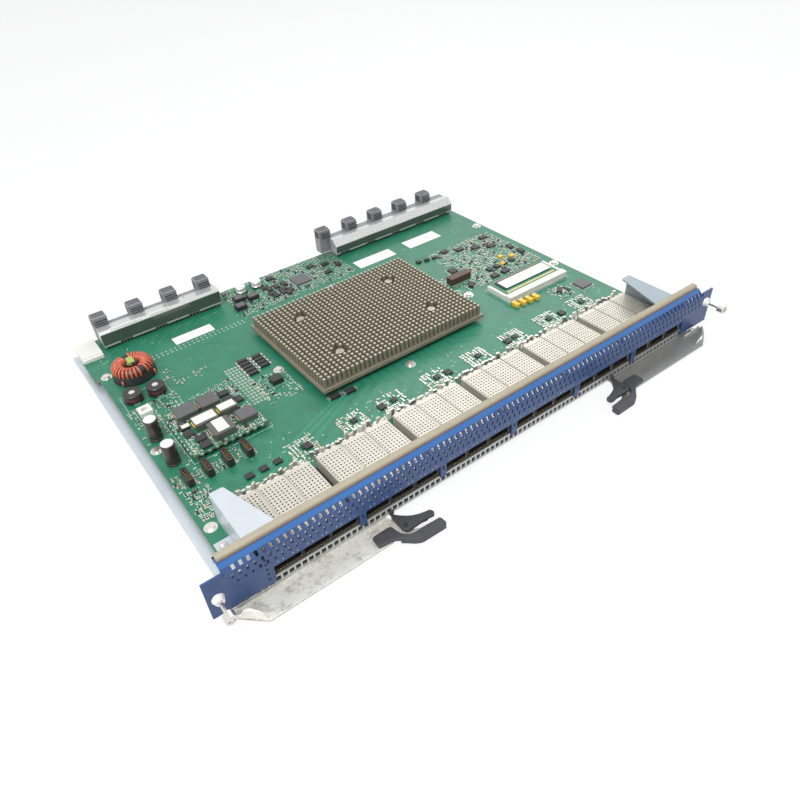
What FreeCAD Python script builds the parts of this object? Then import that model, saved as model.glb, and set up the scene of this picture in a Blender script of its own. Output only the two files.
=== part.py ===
import FreeCAD, Part
import math
import os

# Switch line card: a sheet-metal tray that carries a circuit board, a folded front panel with
# openings for gangs of port cages, two levers and two captive screws.
# +X runs along the panel to the right, +Y to the backplane end, +Z up off the board. Here Y is
# measured from the panel's front face; save() puts the origin under the middle of the card.

V = FreeCAD.Vector

# ---- driving dimensions, mm -------------------------------------------------------------
board_w = 426.0
board_front_y = 4.0
board_rear_y = 328.6
board_t = 2.4
tray_wall_h = 5.0            # side walls that the card stands on
sheet_t = 1.2                # tray sheet
board_gap = 4.9              # tray floor to underside of board
tray_overhang = 7.0          # tray floor beyond the board's side edge
tray_rear_y = 326.0
tray_flange_w = 6.0          # inward return along the foot of each side wall
tray_side_y = 30.0           # side walls start here, clear of the levers' swing
lip_h = 7.1                  # perforated front lip of the tray
lip_hole_w = 3.3
lip_hole_h = 4.2
lip_hole_pitch = 4.59
lip_hole_rise = 1.3
lip_clear = 0.1              # behind the panel

panel_t = 1.5
panel_h = 42.0
panel_w = 442.0
panel_bend_y = 5.5           # depth of the sloped top stripe
panel_top_depth = 12.5
panel_back_lip = 4.0
panel_foot_z = 10.3
tab_w = 12.8                 # mounting tab outboard of the folded part
tab_h = 31.7
tab_foot_z = 8.0
slot_pitch = 4.8
slot_w = 2.4
slot_low_z = 36.5
slot_high_z = 39.4
gasket_w = 5.4
gasket_h = 3.0

window_count = 6
window_pitch = 66.0
window_w = 61.0
window_h = 9.0
window_first_x = -192.2      # left edge of the first window

ports_per_gang = 3
port_pitch = 20.33
port_w = 18.9
port_h = 8.8
cage_h = 10.2
cage_depth = 60.0
cage_wall = 0.6
cage_tail = 6.2
cage_slot_rows = 6           # vent slots over each bay
cage_slot_front = 14.0
cage_slot_pitch = 7.0
cage_slot_w = 2.2
socket_w = 16.0
socket_d = 12.0
socket_h = 7.2
card_slot_h = 1.5
card_slot_depth = 6.0

sink_w = 166.0
sink_d = 123.0
sink_x = 1.0
sink_y = 182.5
sink_gap = 4.7               # board to underside of sink
sink_base_t = 2.8
pin_h = 9.2
pin_side = 2.9
pin_pitch = 6.4
pin_margin = 3.4
chip_side = 55.0
sink_screw_dx = 48.0
sink_screw_dy = 32.0
sink_screw_r = 1.5
sink_head_r = 3.6
sink_head_h = 2.6
sink_spring_h = 4.0

conn_cover_d = 14.0
conn_cover_t = 0.8
conn_cover_h = 18.0
conn_tower_w = 13.0
conn_tower_h = 27.7
conn_tower_d = 10.0
conn_tower_out = 3.0         # tower beyond the wafer block's rear
conn_foot_h = 3.0
conn_foot_d = 12.0
left_conn_front_y = 305.0
left_conn_d = 18.0
left_conn_x = -195.0         # left edge of the first tower
left_conn_pitch = 32.2
left_conn_towers = 4
left_cover_x = -194.5
left_cover_w = 112.5
left_cover_bevel = 2.0
right_conn_front_y = 310.0
right_conn_d = 21.0
right_conn_x = 41.6
right_conn_pitch = 33.2
right_conn_towers = 5
right_cover_x = 52.0
right_cover_w = 156.0
right_cover_bevel = 6.0

screw_r = 1.5
screw_clear = 0.1
screw_head_r = 2.9
screw_head_h = 1.8
standoff_r = 3.0

lever_t = 1.5
lever_gap = 0.6              # tray floor to lever
lever_reach = 17.5           # how far the lever sheet stands out in front
lever_flap_h = 9.3
pivot_inset = 7.0            # lever pivot from the folded part's end
lever_corner_in = 6.0        # lever's front corner, inboard of the pivot
pivot_y = 8.0
pivot_r = 2.5
pivot_clear = 0.06
trigger_pin_x = 107.2
trigger_pin_y = -15.2
trigger_pin_r = 1.2
trigger_t = 4.6
trigger_clear = 0.06
grip_under = 1.3
grip_over = 4.3
grip_front_y = -30.6          # foremost point of the handles

thumb_inset = 6.4            # captive screw outboard of the folded part's end
left_thumb_z = 22.5
right_thumb_z = 29.0
thumb_out = 18.0             # head's face in front of the panel
thumb_tip_len = 6.0          # threaded end, behind its bush
thumb_tip_r = 2.0
thumb_tip_gap = 0.5          # between bush and threaded end
thumb_shank_r = 1.4
thumb_head_r = 3.7
thumb_head_len = 5.5
thumb_recess_w = 0.9
ferrule_r = 4.2
ferrule_len = 3.2
ferrule_wall = 1.1
ferrule_clear = 0.1
ferrule_tail = 1.0           # bush beyond the panel's back
thumb_clear = 0.08

# ---- values worked out from the driving dimensions --------------------------------------
floor_top = tray_wall_h
floor_low = floor_top - sheet_t
board_low = floor_top + board_gap
board_top = board_low + board_t
half_board = board_w / 2
half_tray = half_board + tray_overhang
lever_top = floor_low - lever_gap
lever_low = lever_top - lever_t
half_panel = panel_w / 2
half_tabs = half_panel + tab_w
pivot_x = half_panel - pivot_inset
thumb_x = half_panel + thumb_inset
window_top = board_top + window_h
rear_y = right_conn_front_y + right_conn_d + conn_tower_out
middle_y = (rear_y + grip_front_y) / 2


# ---- helpers ----------------------------------------------------------------------------
def box(x0, y0, z0, x1, y1, z1):
    return Part.makeBox(x1 - x0, y1 - y0, z1 - z0, V(x0, y0, z0))


def block(x, y, z0, w, d, h):
    """A box centred on x, y that stands on z0."""
    return box(x - w / 2, y - d / 2, z0, x + w / 2, y + d / 2, z0 + h)


def rod(x, y, z0, z1, r):
    return Part.makeCylinder(r, z1 - z0, V(x, y, z0))


def facet_rod(x, y, z0, z1, r, sides=12):
    """A small round piece or hole that repeats, with flats in place of a curve."""
    turn = 2 * math.pi / sides
    ring = [V(x + r * math.cos(i * turn), y + r * math.sin(i * turn), z0) for i in range(sides)]
    return Part.Face(Part.makePolygon(ring + ring[:1])).extrude(V(0, 0, z1 - z0))


def rod_y(x, z, y0, y1, r):
    return Part.makeCylinder(r, y1 - y0, V(x, y0, z), V(0, 1, 0))


def plate(points, z0, z1):
    """An outline in plan, given a height."""
    corners = [V(x, y, z0) for x, y in points]
    wire = Part.makePolygon(corners + corners[:1])
    return Part.Face(wire).extrude(V(0, 0, z1 - z0))


def folded(points, x0, x1):
    """A section in Y and Z, run along X."""
    corners = [V(x0, y, z) for y, z in points]
    wire = Part.makePolygon(corners + corners[:1])
    return Part.Face(wire).extrude(V(x1 - x0, 0, 0))


def soften(shape, radius, wanted):
    """Round the edges whose middle and direction the test picks."""
    edges = [e for e in shape.Edges if wanted(e)]
    return shape.makeFillet(radius, edges) if edges else shape


def bevelled(shape, size, wanted):
    """The same with a flat bevel."""
    edges = [e for e in shape.Edges if wanted(e)]
    return shape.makeChamfer(size, edges) if edges else shape


def upright(edge):
    a, b = edge.Vertexes[0].Point, edge.Vertexes[-1].Point
    return abs(a.x - b.x) < 0.01 and abs(a.y - b.y) < 0.01 and abs(a.z - b.z) > 0.1


def mirrored(shape):
    return shape.mirror(V(0, 0, 0), V(1, 0, 0))


def joined(shapes):
    return shapes[0].fuse(shapes[1:]).removeSplitter() if len(shapes) > 1 else shapes[0]


def save(name, shape):
    if isinstance(shape, list):
        shape = Part.makeCompound(shape)
    shape = shape.copy()
    shape.translate(V(0, -middle_y, 0))
    shape.exportStep("parts/" + name + ".step")


# ---- board ------------------------------------------------------------------------------
notch_w = 15.0               # cut-out at the rear left corner for the power entry
notch_y = 299.0
tab_step = 3.5
tab_step_y = 268.0

screw_spots = [
    (-207.0, 266.0), (-207.5, 152.0), (-207.0, 60.0),
    (207.0, 266.0), (207.0, 152.0), (207.0, 60.0),
    (-91.0, 179.0), (-3.5, 113.4), (104.0, 163.0), (14.0, 262.0),
]


def make_board():
    left = -half_board
    outline = [
        (left, board_front_y), (half_board, board_front_y), (half_board, board_rear_y),
        (left + notch_w, board_rear_y), (left + notch_w, notch_y),
        (left - tab_step, notch_y), (left - tab_step, tab_step_y), (left, tab_step_y - 2),
    ]
    board = plate(outline, board_low, board_top)
    holes = [facet_rod(x, y, board_low - 1, board_top + 1, screw_r + screw_clear)
             for x, y in screw_spots]
    holes += [facet_rod(x, y, board_low - 1, board_top + 1, sink_screw_r + screw_clear)
              for x, y in sink_screw_spots()]
    return board.cut(holes)


def make_standoffs():
    """Tubes that carry the board off the tray floor."""
    return [facet_rod(x, y, floor_top, board_low, standoff_r).cut(
        facet_rod(x, y, floor_top - 1, board_low + 1, screw_r + screw_clear)) for x, y in screw_spots]


def make_board_screws():
    screws = []
    for x, y in screw_spots:
        head = facet_rod(x, y, board_top, board_top + screw_head_h, screw_head_r)
        screws.append(head.fuse(facet_rod(x, y, floor_top + 0.3, board_top + 0.2, screw_r)))
    return screws


# ---- tray -------------------------------------------------------------------------------
def make_tray():
    """One zinc sheet: floor, side walls folded down to a return flange, perforated lip in front."""
    front = panel_t + lip_clear
    nose_half = half_panel - 2
    lip_half = half_panel - 10
    floor = box(-half_tray, tray_side_y, floor_low, half_tray, tray_rear_y, floor_top)
    nose = box(-nose_half, front, floor_low, nose_half, tray_side_y, floor_top)
    lip = box(-lip_half, front, floor_low, lip_half, front + sheet_t, floor_low + lip_h)
    wall = box(-half_tray, tray_side_y, 0, -half_tray + sheet_t, tray_rear_y, floor_top)
    flange = box(-half_tray, tray_side_y, 0, -half_tray + tray_flange_w, tray_rear_y, sheet_t)
    sides = [wall, flange, mirrored(wall), mirrored(flange)]
    tray = joined([floor, nose, lip] + sides)
    count = int((2 * lip_half - lip_hole_pitch) / lip_hole_pitch)
    start = -(count - 1) * lip_hole_pitch / 2
    low = floor_top + lip_hole_rise - sheet_t
    holes = [block(start + i * lip_hole_pitch, front + sheet_t / 2, low, lip_hole_w, 4 * sheet_t,
                   lip_hole_h) for i in range(count)]
    holes += [rod(s * pivot_x, pivot_y, floor_low - 1, floor_top + 1, pivot_r + pivot_clear)
              for s in (-1, 1)]
    return tray.cut(holes)


# ---- front panel ------------------------------------------------------------------------
def make_panel():
    t = panel_t
    knee = panel_h - panel_bend_y
    k = t * (math.sqrt(2) - 1)
    section = [
        (0, panel_foot_z), (t, panel_foot_z), (t, knee - k), (panel_bend_y + k, panel_h - t),
        (panel_top_depth - t, panel_h - t), (panel_top_depth - t, panel_h - panel_back_lip),
        (panel_top_depth, panel_h - panel_back_lip), (panel_top_depth, panel_h),
        (panel_bend_y, panel_h), (0, knee),
    ]
    folded_part = folded(section, -half_panel, half_panel)
    tabs = [box(min(s * half_panel, s * half_tabs) - (1 if s > 0 else 0), 0, tab_foot_z,
                max(s * half_panel, s * half_tabs) + (1 if s < 0 else 0), t, tab_foot_z + tab_h)
            for s in (-1, 1)]
    feet = []
    window_last = window_first_x + (window_count - 1) * window_pitch + window_w
    feet.append(box(-half_panel, 0, tab_foot_z, window_first_x, t, panel_foot_z + 1))
    feet.append(box(window_last, 0, tab_foot_z, half_panel, t, panel_foot_z + 1))
    panel = joined([folded_part] + tabs + feet)
    cuts = []
    for i in range(window_count):
        x = window_first_x + i * window_pitch
        cuts.append(box(x, -1, panel_foot_z - 1, x + window_w, t + 1, window_top))
    count = int((panel_w - 14) / slot_pitch)
    start = -(count - 1) * slot_pitch / 2
    for i in range(count):
        x = start + i * slot_pitch
        cuts.append(box(x - slot_w / 2, -1, slot_low_z, x + slot_w / 2, panel_bend_y - 1.2, slot_high_z))
    bush_r = thumb_shank_r + ferrule_wall + ferrule_clear
    cuts.append(rod_y(-thumb_x, left_thumb_z, -1, t + 1, bush_r))
    cuts.append(rod_y(thumb_x, right_thumb_z, -1, t + 1, bush_r))
    return panel.cut(cuts)


def make_gasket():
    y0 = panel_top_depth - gasket_w
    strip = box(-half_panel + 1, y0, panel_h, half_panel - 1, panel_top_depth, panel_h + gasket_h)
    return soften(strip, 1.6, lambda e: e.BoundBox.ZMin > panel_h + gasket_h - 0.01
                  and e.BoundBox.XLength > 100)


gusset_inset = 19.8          # brace's web from the folded part's end
gusset_rear_y = 61.0
gusset_t = 1.2
gusset_h = 26.7              # flange's top over the board
gusset_root_w = 23.0         # flange at the panel
gusset_tip_w = 9.5
gusset_tip_r = 2.0
gusset_foot_w = 12.0
gusset_foot_front = 15.0
gusset_foot_len = 30.0
gusset_ear_w = 9.0
gusset_clear = 0.4           # to the panel's back lip
gusset_x = half_panel - gusset_inset


def make_gusset():
    """Left brace: upright web, top flange that narrows to a round tip, foot bolted to the board."""
    x = -gusset_x
    z0 = board_top
    z1 = board_top + gusset_h
    lip_y = panel_top_depth + gusset_clear
    under_lip = min(panel_h - panel_back_lip - gusset_clear, z1)
    web = folded([(panel_t, z0), (gusset_rear_y, z0), (gusset_rear_y, z1), (lip_y, z1),
                  (lip_y, under_lip), (panel_t, under_lip)], x, x + gusset_t)
    flange = plate([(x, lip_y), (x + gusset_root_w, lip_y),
                    (x + gusset_tip_w, gusset_rear_y), (x, gusset_rear_y)], z1 - gusset_t, z1)
    flange = soften(flange, gusset_tip_r, lambda e: upright(e)
                    and e.Vertexes[0].Point.y > gusset_rear_y - 0.1
                    and e.Vertexes[0].Point.x > x + gusset_tip_w - 0.1)
    y0 = gusset_foot_front
    foot = box(x - gusset_foot_w + gusset_t, y0, z0, x + gusset_t, y0 + gusset_foot_len, z0 + gusset_t)
    ear = box(x - gusset_ear_w, panel_t, z0, x + gusset_t, panel_t + gusset_t, under_lip - 6)
    brace = joined([web, flange, foot, ear])
    holes = [facet_rod(nx, ny, z0 - 1, z0 + gusset_t + 1, screw_r + screw_clear)
             for nx, ny in gusset_nut_spots()]
    return brace.cut(holes)


def gusset_nut_spots():
    x = -gusset_x - gusset_foot_w / 2 + gusset_t / 2
    y = gusset_foot_front + gusset_foot_len
    return [(x - 0.8, y - 5.0), (x + 0.8, y - 13.0)]


def make_gusset_nuts():
    nuts = []
    for x, y in gusset_nut_spots():
        z = board_top + gusset_t
        ring = [V(x + 2.9 * math.cos(math.radians(a)), y + 2.9 * math.sin(math.radians(a)), z)
                for a in range(0, 360, 60)]
        nut = Part.Face(Part.makePolygon(ring + ring[:1])).extrude(V(0, 0, 2.2))
        nuts.append(nut.fuse(facet_rod(x, y, z - gusset_t, z + 3.4, screw_r)))
    return nuts + [mirrored(n) for n in nuts]


# ---- port cages and sockets -------------------------------------------------------------
def gang_x(index):
    return window_first_x + index * window_pitch + window_w / 2


def port_xs(index):
    middle = gang_x(index)
    return [middle + (i - (ports_per_gang - 1) / 2) * port_pitch for i in range(ports_per_gang)]


def make_cage(index):
    """Three bays side by side, open in front, with a step-down tail at the rear."""
    y0 = panel_t + 0.3
    y1 = y0 + cage_depth
    x = gang_x(index)
    half = window_w / 2 - 0.2
    shell = box(x - half, y0, board_top, x + half, y1, board_top + cage_h)
    tail = box(x - half + 1.5, y1, board_top, x + half - 1.5, y1 + cage_tail, board_top + 4.5)
    shell = shell.fuse(tail)
    cuts = []
    for px in port_xs(index):
        z0 = board_top + cage_wall
        cuts.append(box(px - port_w / 2, y0 - 1, z0, px + port_w / 2, y1 - cage_wall, z0 + port_h))
        cuts.append(box(px - port_w / 2 + 0.4, y1 - socket_d - 3, board_top - 1,
                        px + port_w / 2 - 0.4, y1 - cage_wall, z0 + 1))
        for side in (-1, 1):
            cuts.append(box(px + side * 5 - 2, y1 + 1.2, board_top + 1.0,
                            px + side * 5 + 2, y1 + cage_tail + 1, board_top + 6))
        for k in range(cage_slot_rows):
            y = y0 + cage_slot_front + k * cage_slot_pitch
            cuts.append(box(px - port_w * 0.38, y, board_top + port_h, px + port_w * 0.38,
                            y + cage_slot_w, board_top + cage_h + 1))
    return shell.cut(cuts)


def make_sockets():
    """Card-edge receptacles that stand on the board at the back of each bay."""
    sockets = []
    y1 = panel_t + 0.3 + cage_depth - cage_wall - 0.4
    y0 = y1 - socket_d
    z = board_top + socket_h * 0.55
    for px in [x for i in range(window_count) for x in port_xs(i)]:
        body = box(px - socket_w / 2, y0, board_top, px + socket_w / 2, y1, board_top + socket_h)
        slot = box(px - socket_w / 2 + 1.2, y0 - 1, z, px + socket_w / 2 - 1.2,
                   y0 + card_slot_depth, z + card_slot_h)
        sockets.append(body.cut(slot))
    return sockets


# ---- heat sink --------------------------------------------------------------------------
def sink_screw_spots():
    return [(sink_x + sx * sink_screw_dx, sink_y + sy * sink_screw_dy)
            for sx in (-1, 1) for sy in (-1, 1)]


def make_heat_sink():
    z0 = board_top + sink_gap
    z1 = z0 + sink_base_t
    base = block(sink_x, sink_y, z0, sink_w, sink_d, sink_base_t)
    count_x = int((sink_w - 2 * pin_margin) / pin_pitch) + 1
    count_y = int((sink_d - 2 * pin_margin) / pin_pitch) + 1
    step_x = (sink_w - 2 * pin_margin) / (count_x - 1)
    step_y = (sink_d - 2 * pin_margin) / (count_y - 1)
    clear = sink_head_r + pin_side * 0.9
    pins = []
    for i in range(count_x):
        for j in range(count_y):
            x = sink_x - sink_w / 2 + pin_margin + i * step_x
            y = sink_y - sink_d / 2 + pin_margin + j * step_y
            if any(math.hypot(x - sx, y - sy) < clear for sx, sy in sink_screw_spots()):
                continue
            pins.append(block(x, y, z1 - 0.5, pin_side, pin_side, pin_h + 0.5))
    sink = base.fuse(pins)
    holes = [facet_rod(x, y, z0 - 1, z1 + 1, sink_screw_r + screw_clear)
             for x, y in sink_screw_spots()]
    return sink.cut(holes)


def make_switch_chip():
    substrate = block(sink_x, sink_y, board_top, chip_side, chip_side, sink_gap * 0.45)
    lid = block(sink_x, sink_y, board_top, chip_side * 0.8, chip_side * 0.8, sink_gap)
    return substrate.fuse(lid)


def make_sink_posts():
    return [facet_rod(x, y, board_top, board_top + sink_gap, sink_head_r).cut(
        facet_rod(x, y, board_top - 1, board_top + sink_gap + 1, sink_screw_r + screw_clear))
        for x, y in sink_screw_spots()]


def make_sink_screws():
    screws = []
    z = board_top + sink_gap + sink_base_t
    for x, y in sink_screw_spots():
        shank = facet_rod(x, y, board_low - 0.6, z + sink_spring_h, sink_screw_r)
        spring = facet_rod(x, y, z, z + sink_spring_h, sink_head_r - 0.9)
        head = facet_rod(x, y, z + sink_spring_h, z + sink_spring_h + sink_head_h, sink_head_r)
        screws.append(joined([shank, spring, head]))
    return screws


# ---- backplane connectors ---------------------------------------------------------------
def make_connector_body(front_y, depth, x0, pitch, towers, cover_x, cover_w):
    """Moulded row: a wafer block on the board's rear edge, guide towers along the back."""
    t = conn_cover_t
    y0 = front_y + t + 0.2
    y1 = front_y + depth
    z0 = board_top
    a, b = cover_x + t + 0.2, cover_x + cover_w - t - 0.2
    parts = [box(a, y0, z0 + conn_foot_h, b, y1, z0 + conn_cover_h - t - 0.1)]
    parts.append(box(a, y0 + 2, z0, b, y0 + 2 + conn_foot_d, z0 + conn_foot_h + 1))
    top = z0 + conn_tower_h
    for i in range(towers):
        x = x0 + i * pitch
        ty = y1 - conn_tower_d + conn_tower_out
        shaft = box(x, ty, z0 + conn_foot_h, x + conn_tower_w, y1 + conn_tower_out, top)
        chamfered = [e for e in shaft.Edges if e.BoundBox.ZMin > top - 0.01]
        parts.append(shaft.makeChamfer(1.2, chamfered))
    body = joined(parts)
    bevel = right_cover_bevel if cover_x > 0 else left_cover_bevel
    z1 = z0 + conn_cover_h
    corner = [(front_y - 1, z1 - bevel - 2 * t), (front_y - 1, z1 + 1), (front_y + bevel + 2 * t, z1 + 1),
              (front_y + bevel + 2 * t, z1 - t - 0.1), (front_y + t, z1 - bevel - 2 * t)]
    body = body.cut(folded(corner, a - 1, b + 1))
    slots = []
    wafer = 8.0
    for i in range(int((b - a - wafer) / wafer)):
        x = a + wafer / 2 + i * wafer
        slots.append(box(x, y1 - 4, z0 + conn_foot_h + 2, x + wafer * 0.55, y1 + 0.1,
                         z0 + conn_cover_h - 5))
    towers_keep = [box(x0 + i * pitch - 0.5, y1 - conn_tower_d, z0, x0 + i * pitch + conn_tower_w + 0.5,
                       y1 + conn_tower_out + 1, top) for i in range(towers)]
    cutter = Part.makeCompound(slots).cut(towers_keep)
    return body.cut(cutter)


def make_connector_cover(front_y, x0, pitch, towers, cover_x, cover_w, bevel):
    """Folded sheet over the front of the row, notched along its lower edge."""
    t = conn_cover_t
    a, b = cover_x, cover_x + cover_w
    y0 = front_y
    y1 = front_y + conn_cover_d - conn_tower_out
    z0 = board_top + conn_foot_h
    z1 = board_top + conn_cover_h
    k = t * (math.sqrt(2) - 1)
    section = [(y0, z0), (y0 + t, z0), (y0 + t, z1 - bevel - k), (y0 + bevel + k, z1 - t),
               (y1, z1 - t), (y1, z1), (y0 + bevel, z1), (y0, z1 - bevel)]
    end = [(y0, z0), (y1, z0), (y1, z1), (y0 + bevel, z1), (y0, z1 - bevel)]
    cover = joined([folded(section, a, b), folded(end, a, a + t), folded(end, b - t, b)])
    notch_w = pitch * 0.34
    cuts = []
    for i in range(towers):
        x = x0 + i * pitch + conn_tower_w + 2
        if x + notch_w < b - 2:
            cuts.append(box(x, y0 - 1, z0 - 1, x + notch_w, y0 + t + 1, z0 + 1.6))
    return cover.cut(cuts)


guide_side = 2.7             # beyond the board's side edge
guide_rear_y = 325.0
guide_h = 4.0


def make_power_entry():
    """Guide and power receptacle in the board's rear left cut-out."""
    left = -half_board - guide_side
    right = -half_board + notch_w - 0.4
    body = box(left, notch_y + 0.4, board_low - 2, right, guide_rear_y, board_top + guide_h)
    shelf = box(left, notch_y - 2.5, board_top, right, notch_y + 1, board_top + guide_h - 1)
    body = body.fuse(shelf)
    mouth = box(left + 3, guide_rear_y - 18, board_low, right - 3, guide_rear_y + 1, board_top + guide_h - 2.5)
    return body.cut(mouth)


# ---- parts on the board -----------------------------------------------------------------
toroid_x = -186.4
toroid_y = 254.5
toroid_r = 11.5
toroid_tube_r = 5.6
toroid_lift = 3.0
toroid_turns = 30
toroid_post_h = 12.0


def make_toroid():
    """Wound ring: an eight-sided section with one facet for each stretch of winding."""
    z = board_top + toroid_lift + toroid_tube_r
    r = toroid_tube_r / math.cos(math.pi / 8)
    count = toroid_turns
    rings = []
    for i in range(count):
        around = 2 * math.pi * i / count
        ring = []
        for j in range(8):
            a = math.pi / 8 + j * math.pi / 4
            q = toroid_r + r * math.cos(a)
            ring.append(V(toroid_x + q * math.cos(around), toroid_y + q * math.sin(around),
                          z + r * math.sin(a)))
        rings.append(ring)
    faces = []
    for i in range(count):
        here, there = rings[i], rings[(i + 1) % count]
        for j in range(8):
            k = (j + 1) % 8
            loop = [here[j], there[j], there[k], here[k], here[j]]
            faces.append(Part.Face(Part.makePolygon(loop)))
    return Part.makeSolid(Part.makeShell(faces))


def make_toroid_base():
    """Plastic cup under the ring with a post through its middle."""
    reach = toroid_r + toroid_tube_r - 1.5
    inner = toroid_r - toroid_tube_r - 0.8
    ring = facet_rod(toroid_x, toroid_y, board_top, board_top + toroid_lift, reach)
    return ring.fuse(facet_rod(toroid_x, toroid_y, board_top, board_top + toroid_post_h, inner))


def make_toroid_clip():
    z = board_top + toroid_lift + 2 * toroid_tube_r + 0.2
    reach = toroid_r + toroid_tube_r
    bar = block(toroid_x, toroid_y, z, 4.0, 2 * reach - 4, 1.0)
    low = board_top + toroid_post_h
    return bar.fuse(block(toroid_x, toroid_y, low, 4.0, 6.0, z + 1 - low))


inductor_spots = [(-199.2, 220.8), (-180.9, 218.3)]
inductor_r = 7.6
inductor_h = 8.0


def make_inductors():
    coils = []
    for x, y in inductor_spots:
        low = facet_rod(x, y, board_top, board_top + 1.6, inductor_r)
        waist = facet_rod(x, y, board_top, board_top + inductor_h, inductor_r - 1.6)
        top = facet_rod(x, y, board_top + inductor_h - 2.2, board_top + inductor_h, inductor_r)
        coils.append(joined([low, waist, top]))
    return coils


cap_spots = [(-202.3, 165.3), (-202.3, 132.2)]
cap_r = 5.2
cap_h = 19.0
small_cap_spots = [(-57.0, 316.0), (-40.0, 316.0)]
small_cap_r = 5.0
small_cap_h = 6.5


crimp_z = 1.4
crimp_h = 0.9
crimp_d = 0.5
can_sides = 24


def make_caps(spots, r, h):
    caps = []
    for x, y in spots:
        low, high = board_top + crimp_z, board_top + crimp_z + crimp_h
        can = facet_rod(x, y, board_top, board_top + h, r, can_sides)
        ring = facet_rod(x, y, low, high, r + 1, can_sides)
        groove = ring.cut(facet_rod(x, y, low, high, r - crimp_d, can_sides))
        caps.append(can.cut(groove))
    return caps


terminal_x = -198.0
terminal_y = 199.0


def make_terminal():
    pad = block(terminal_x, terminal_y, board_top, 10, 10, 4.0)
    return pad.cut(rod(terminal_x, terminal_y, board_top + 1, board_top + 5, 2.6))


brick_x = -160.0
brick_y = 151.0
brick_w = 60.0
brick_d = 58.0
brick_lift = 3.6
brick_board_t = 1.6
brick_pin_r = 0.8


def brick_pin_spots():
    return [(brick_x + sx * (brick_w / 2 - 3), brick_y + sy * (brick_d / 2 - 4))
            for sx in (-1, 1) for sy in (-1, 0, 1)]


def make_brick_board():
    z = board_top + brick_lift
    deck = block(brick_x, brick_y, z, brick_w, brick_d, brick_board_t)
    return deck.cut([facet_rod(x, y, z - 1, z + brick_board_t + 1, brick_pin_r + 0.05)
                     for x, y in brick_pin_spots()])


def make_brick_pins():
    top = board_top + brick_lift + brick_board_t + 1.0
    return [facet_rod(x, y, board_top, top, brick_pin_r).fuse(
        facet_rod(x, y, board_top, board_top + brick_lift, brick_pin_r + 0.7))
        for x, y in brick_pin_spots()]


def make_brick_cores():
    """Planar transformer and choke cores, each two halves that clamp the brick's board."""
    cores = []
    z = board_top + brick_lift + brick_board_t
    for dx, dy, w, d, h in [(-15, 19, 17, 14, 4.6), (3, 19, 15, 14, 4.6), (-8, 0, 18, 13, 5.4),
                            (11, 2, 14, 11, 5.4), (-2, -16, 17, 17, 5.0), (19, -14, 14, 13, 4.4)]:
        core = block(brick_x + dx, brick_y + dy, z, w, d, h)
        cores.append(bevelled(core, 1.0, upright))
    return cores


def make_brick_chips():
    z = board_top + brick_lift + brick_board_t
    chips = []
    for dx, dy, w, d, h in [(17, 22, 8, 6, 2.0), (17, 13, 8, 6, 2.0), (-23, 4, 7, 6, 2.2),
                            (-23, -5, 7, 6, 1.8), (-18, -15, 8, 6, 2.0), (-18, -24, 8, 6, 2.0),
                            (24, 8, 4.6, 7, 2.0)]:
        chips.append(block(brick_x + dx, brick_y + dy, z, w, d, h))
    return chips


header_xs = [-201.5, -186.5, -171.3, -155.8]
header_y = 108.0
header_len = 15.0
header_w = 5.0
header_h = 7.0


def make_headers():
    rows = []
    for x in header_xs:
        body = block(x, header_y, board_top, header_w, header_len, header_h)
        slot = block(x, header_y, board_top + 3, header_w - 2.4, header_len - 2.4, header_h)
        rows.append(bevelled(body, 1.0, upright).cut(slot))
    return rows


chips = {
    "phy_chip": (-1.0, 296.0, 17.0, 17.0, 1.6),
    "control_chip": (196.0, 106.0, 13.0, 13.0, 1.8),
    "clock_chip": (122.0, 207.0, 8.0, 8.0, 1.6),
    "filter_block": (115.0, 190.0, 24.0, 8.0, 6.5),
    "hot_swap_chip": (-100.0, 166.5, 9.5, 8.5, 4.5),
}
small_part_rows = [
    # first x, first y, step x, step y, count, width, depth, height
    (-34.0, 300.0, 8.0, 0.0, 3, 5.0, 7.0, 1.8),
    (-34.0, 286.0, 8.0, 0.0, 3, 5.0, 7.0, 1.8),
    (-109.5, 209.0, 0.0, -5.2, 5, 9.0, 3.6, 2.2),
    (-97.0, 207.5, 0.0, -5.2, 4, 8.0, 3.6, 2.2),
    (123.0, 120.0, 7.6, -0.9, 4, 4.0, 7.0, 3.2),
    (-166.5, 84.0, 11.0, 0.0, 3, 6.0, 5.0, 1.8),
    (108.0, 244.0, 9.0, -2.0, 3, 5.0, 4.0, 2.0),
    (150.0, 184.0, 10.0, 0.0, 4, 5.0, 5.0, 2.0),
    (-120.0, 84.0, 66.0, 0.0, 5, 6.0, 6.0, 1.8),
]


def make_chip(name):
    x, y, w, d, h = chips[name]
    return block(x, y, board_top, w, d, h)


def make_small_parts():
    parts = []
    for x, y, dx, dy, count, w, d, h in small_part_rows:
        parts += [block(x + i * dx, y + i * dy, board_top, w, d, h) for i in range(count)]
    return parts


module_x = 159.5
module_w = 67.6
module_d = 30.0
module_t = 1.0
module_lift = 4.0
module_front_y = 129.0
module_socket_d = 7.0
module_arm_w = 3.2


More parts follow.
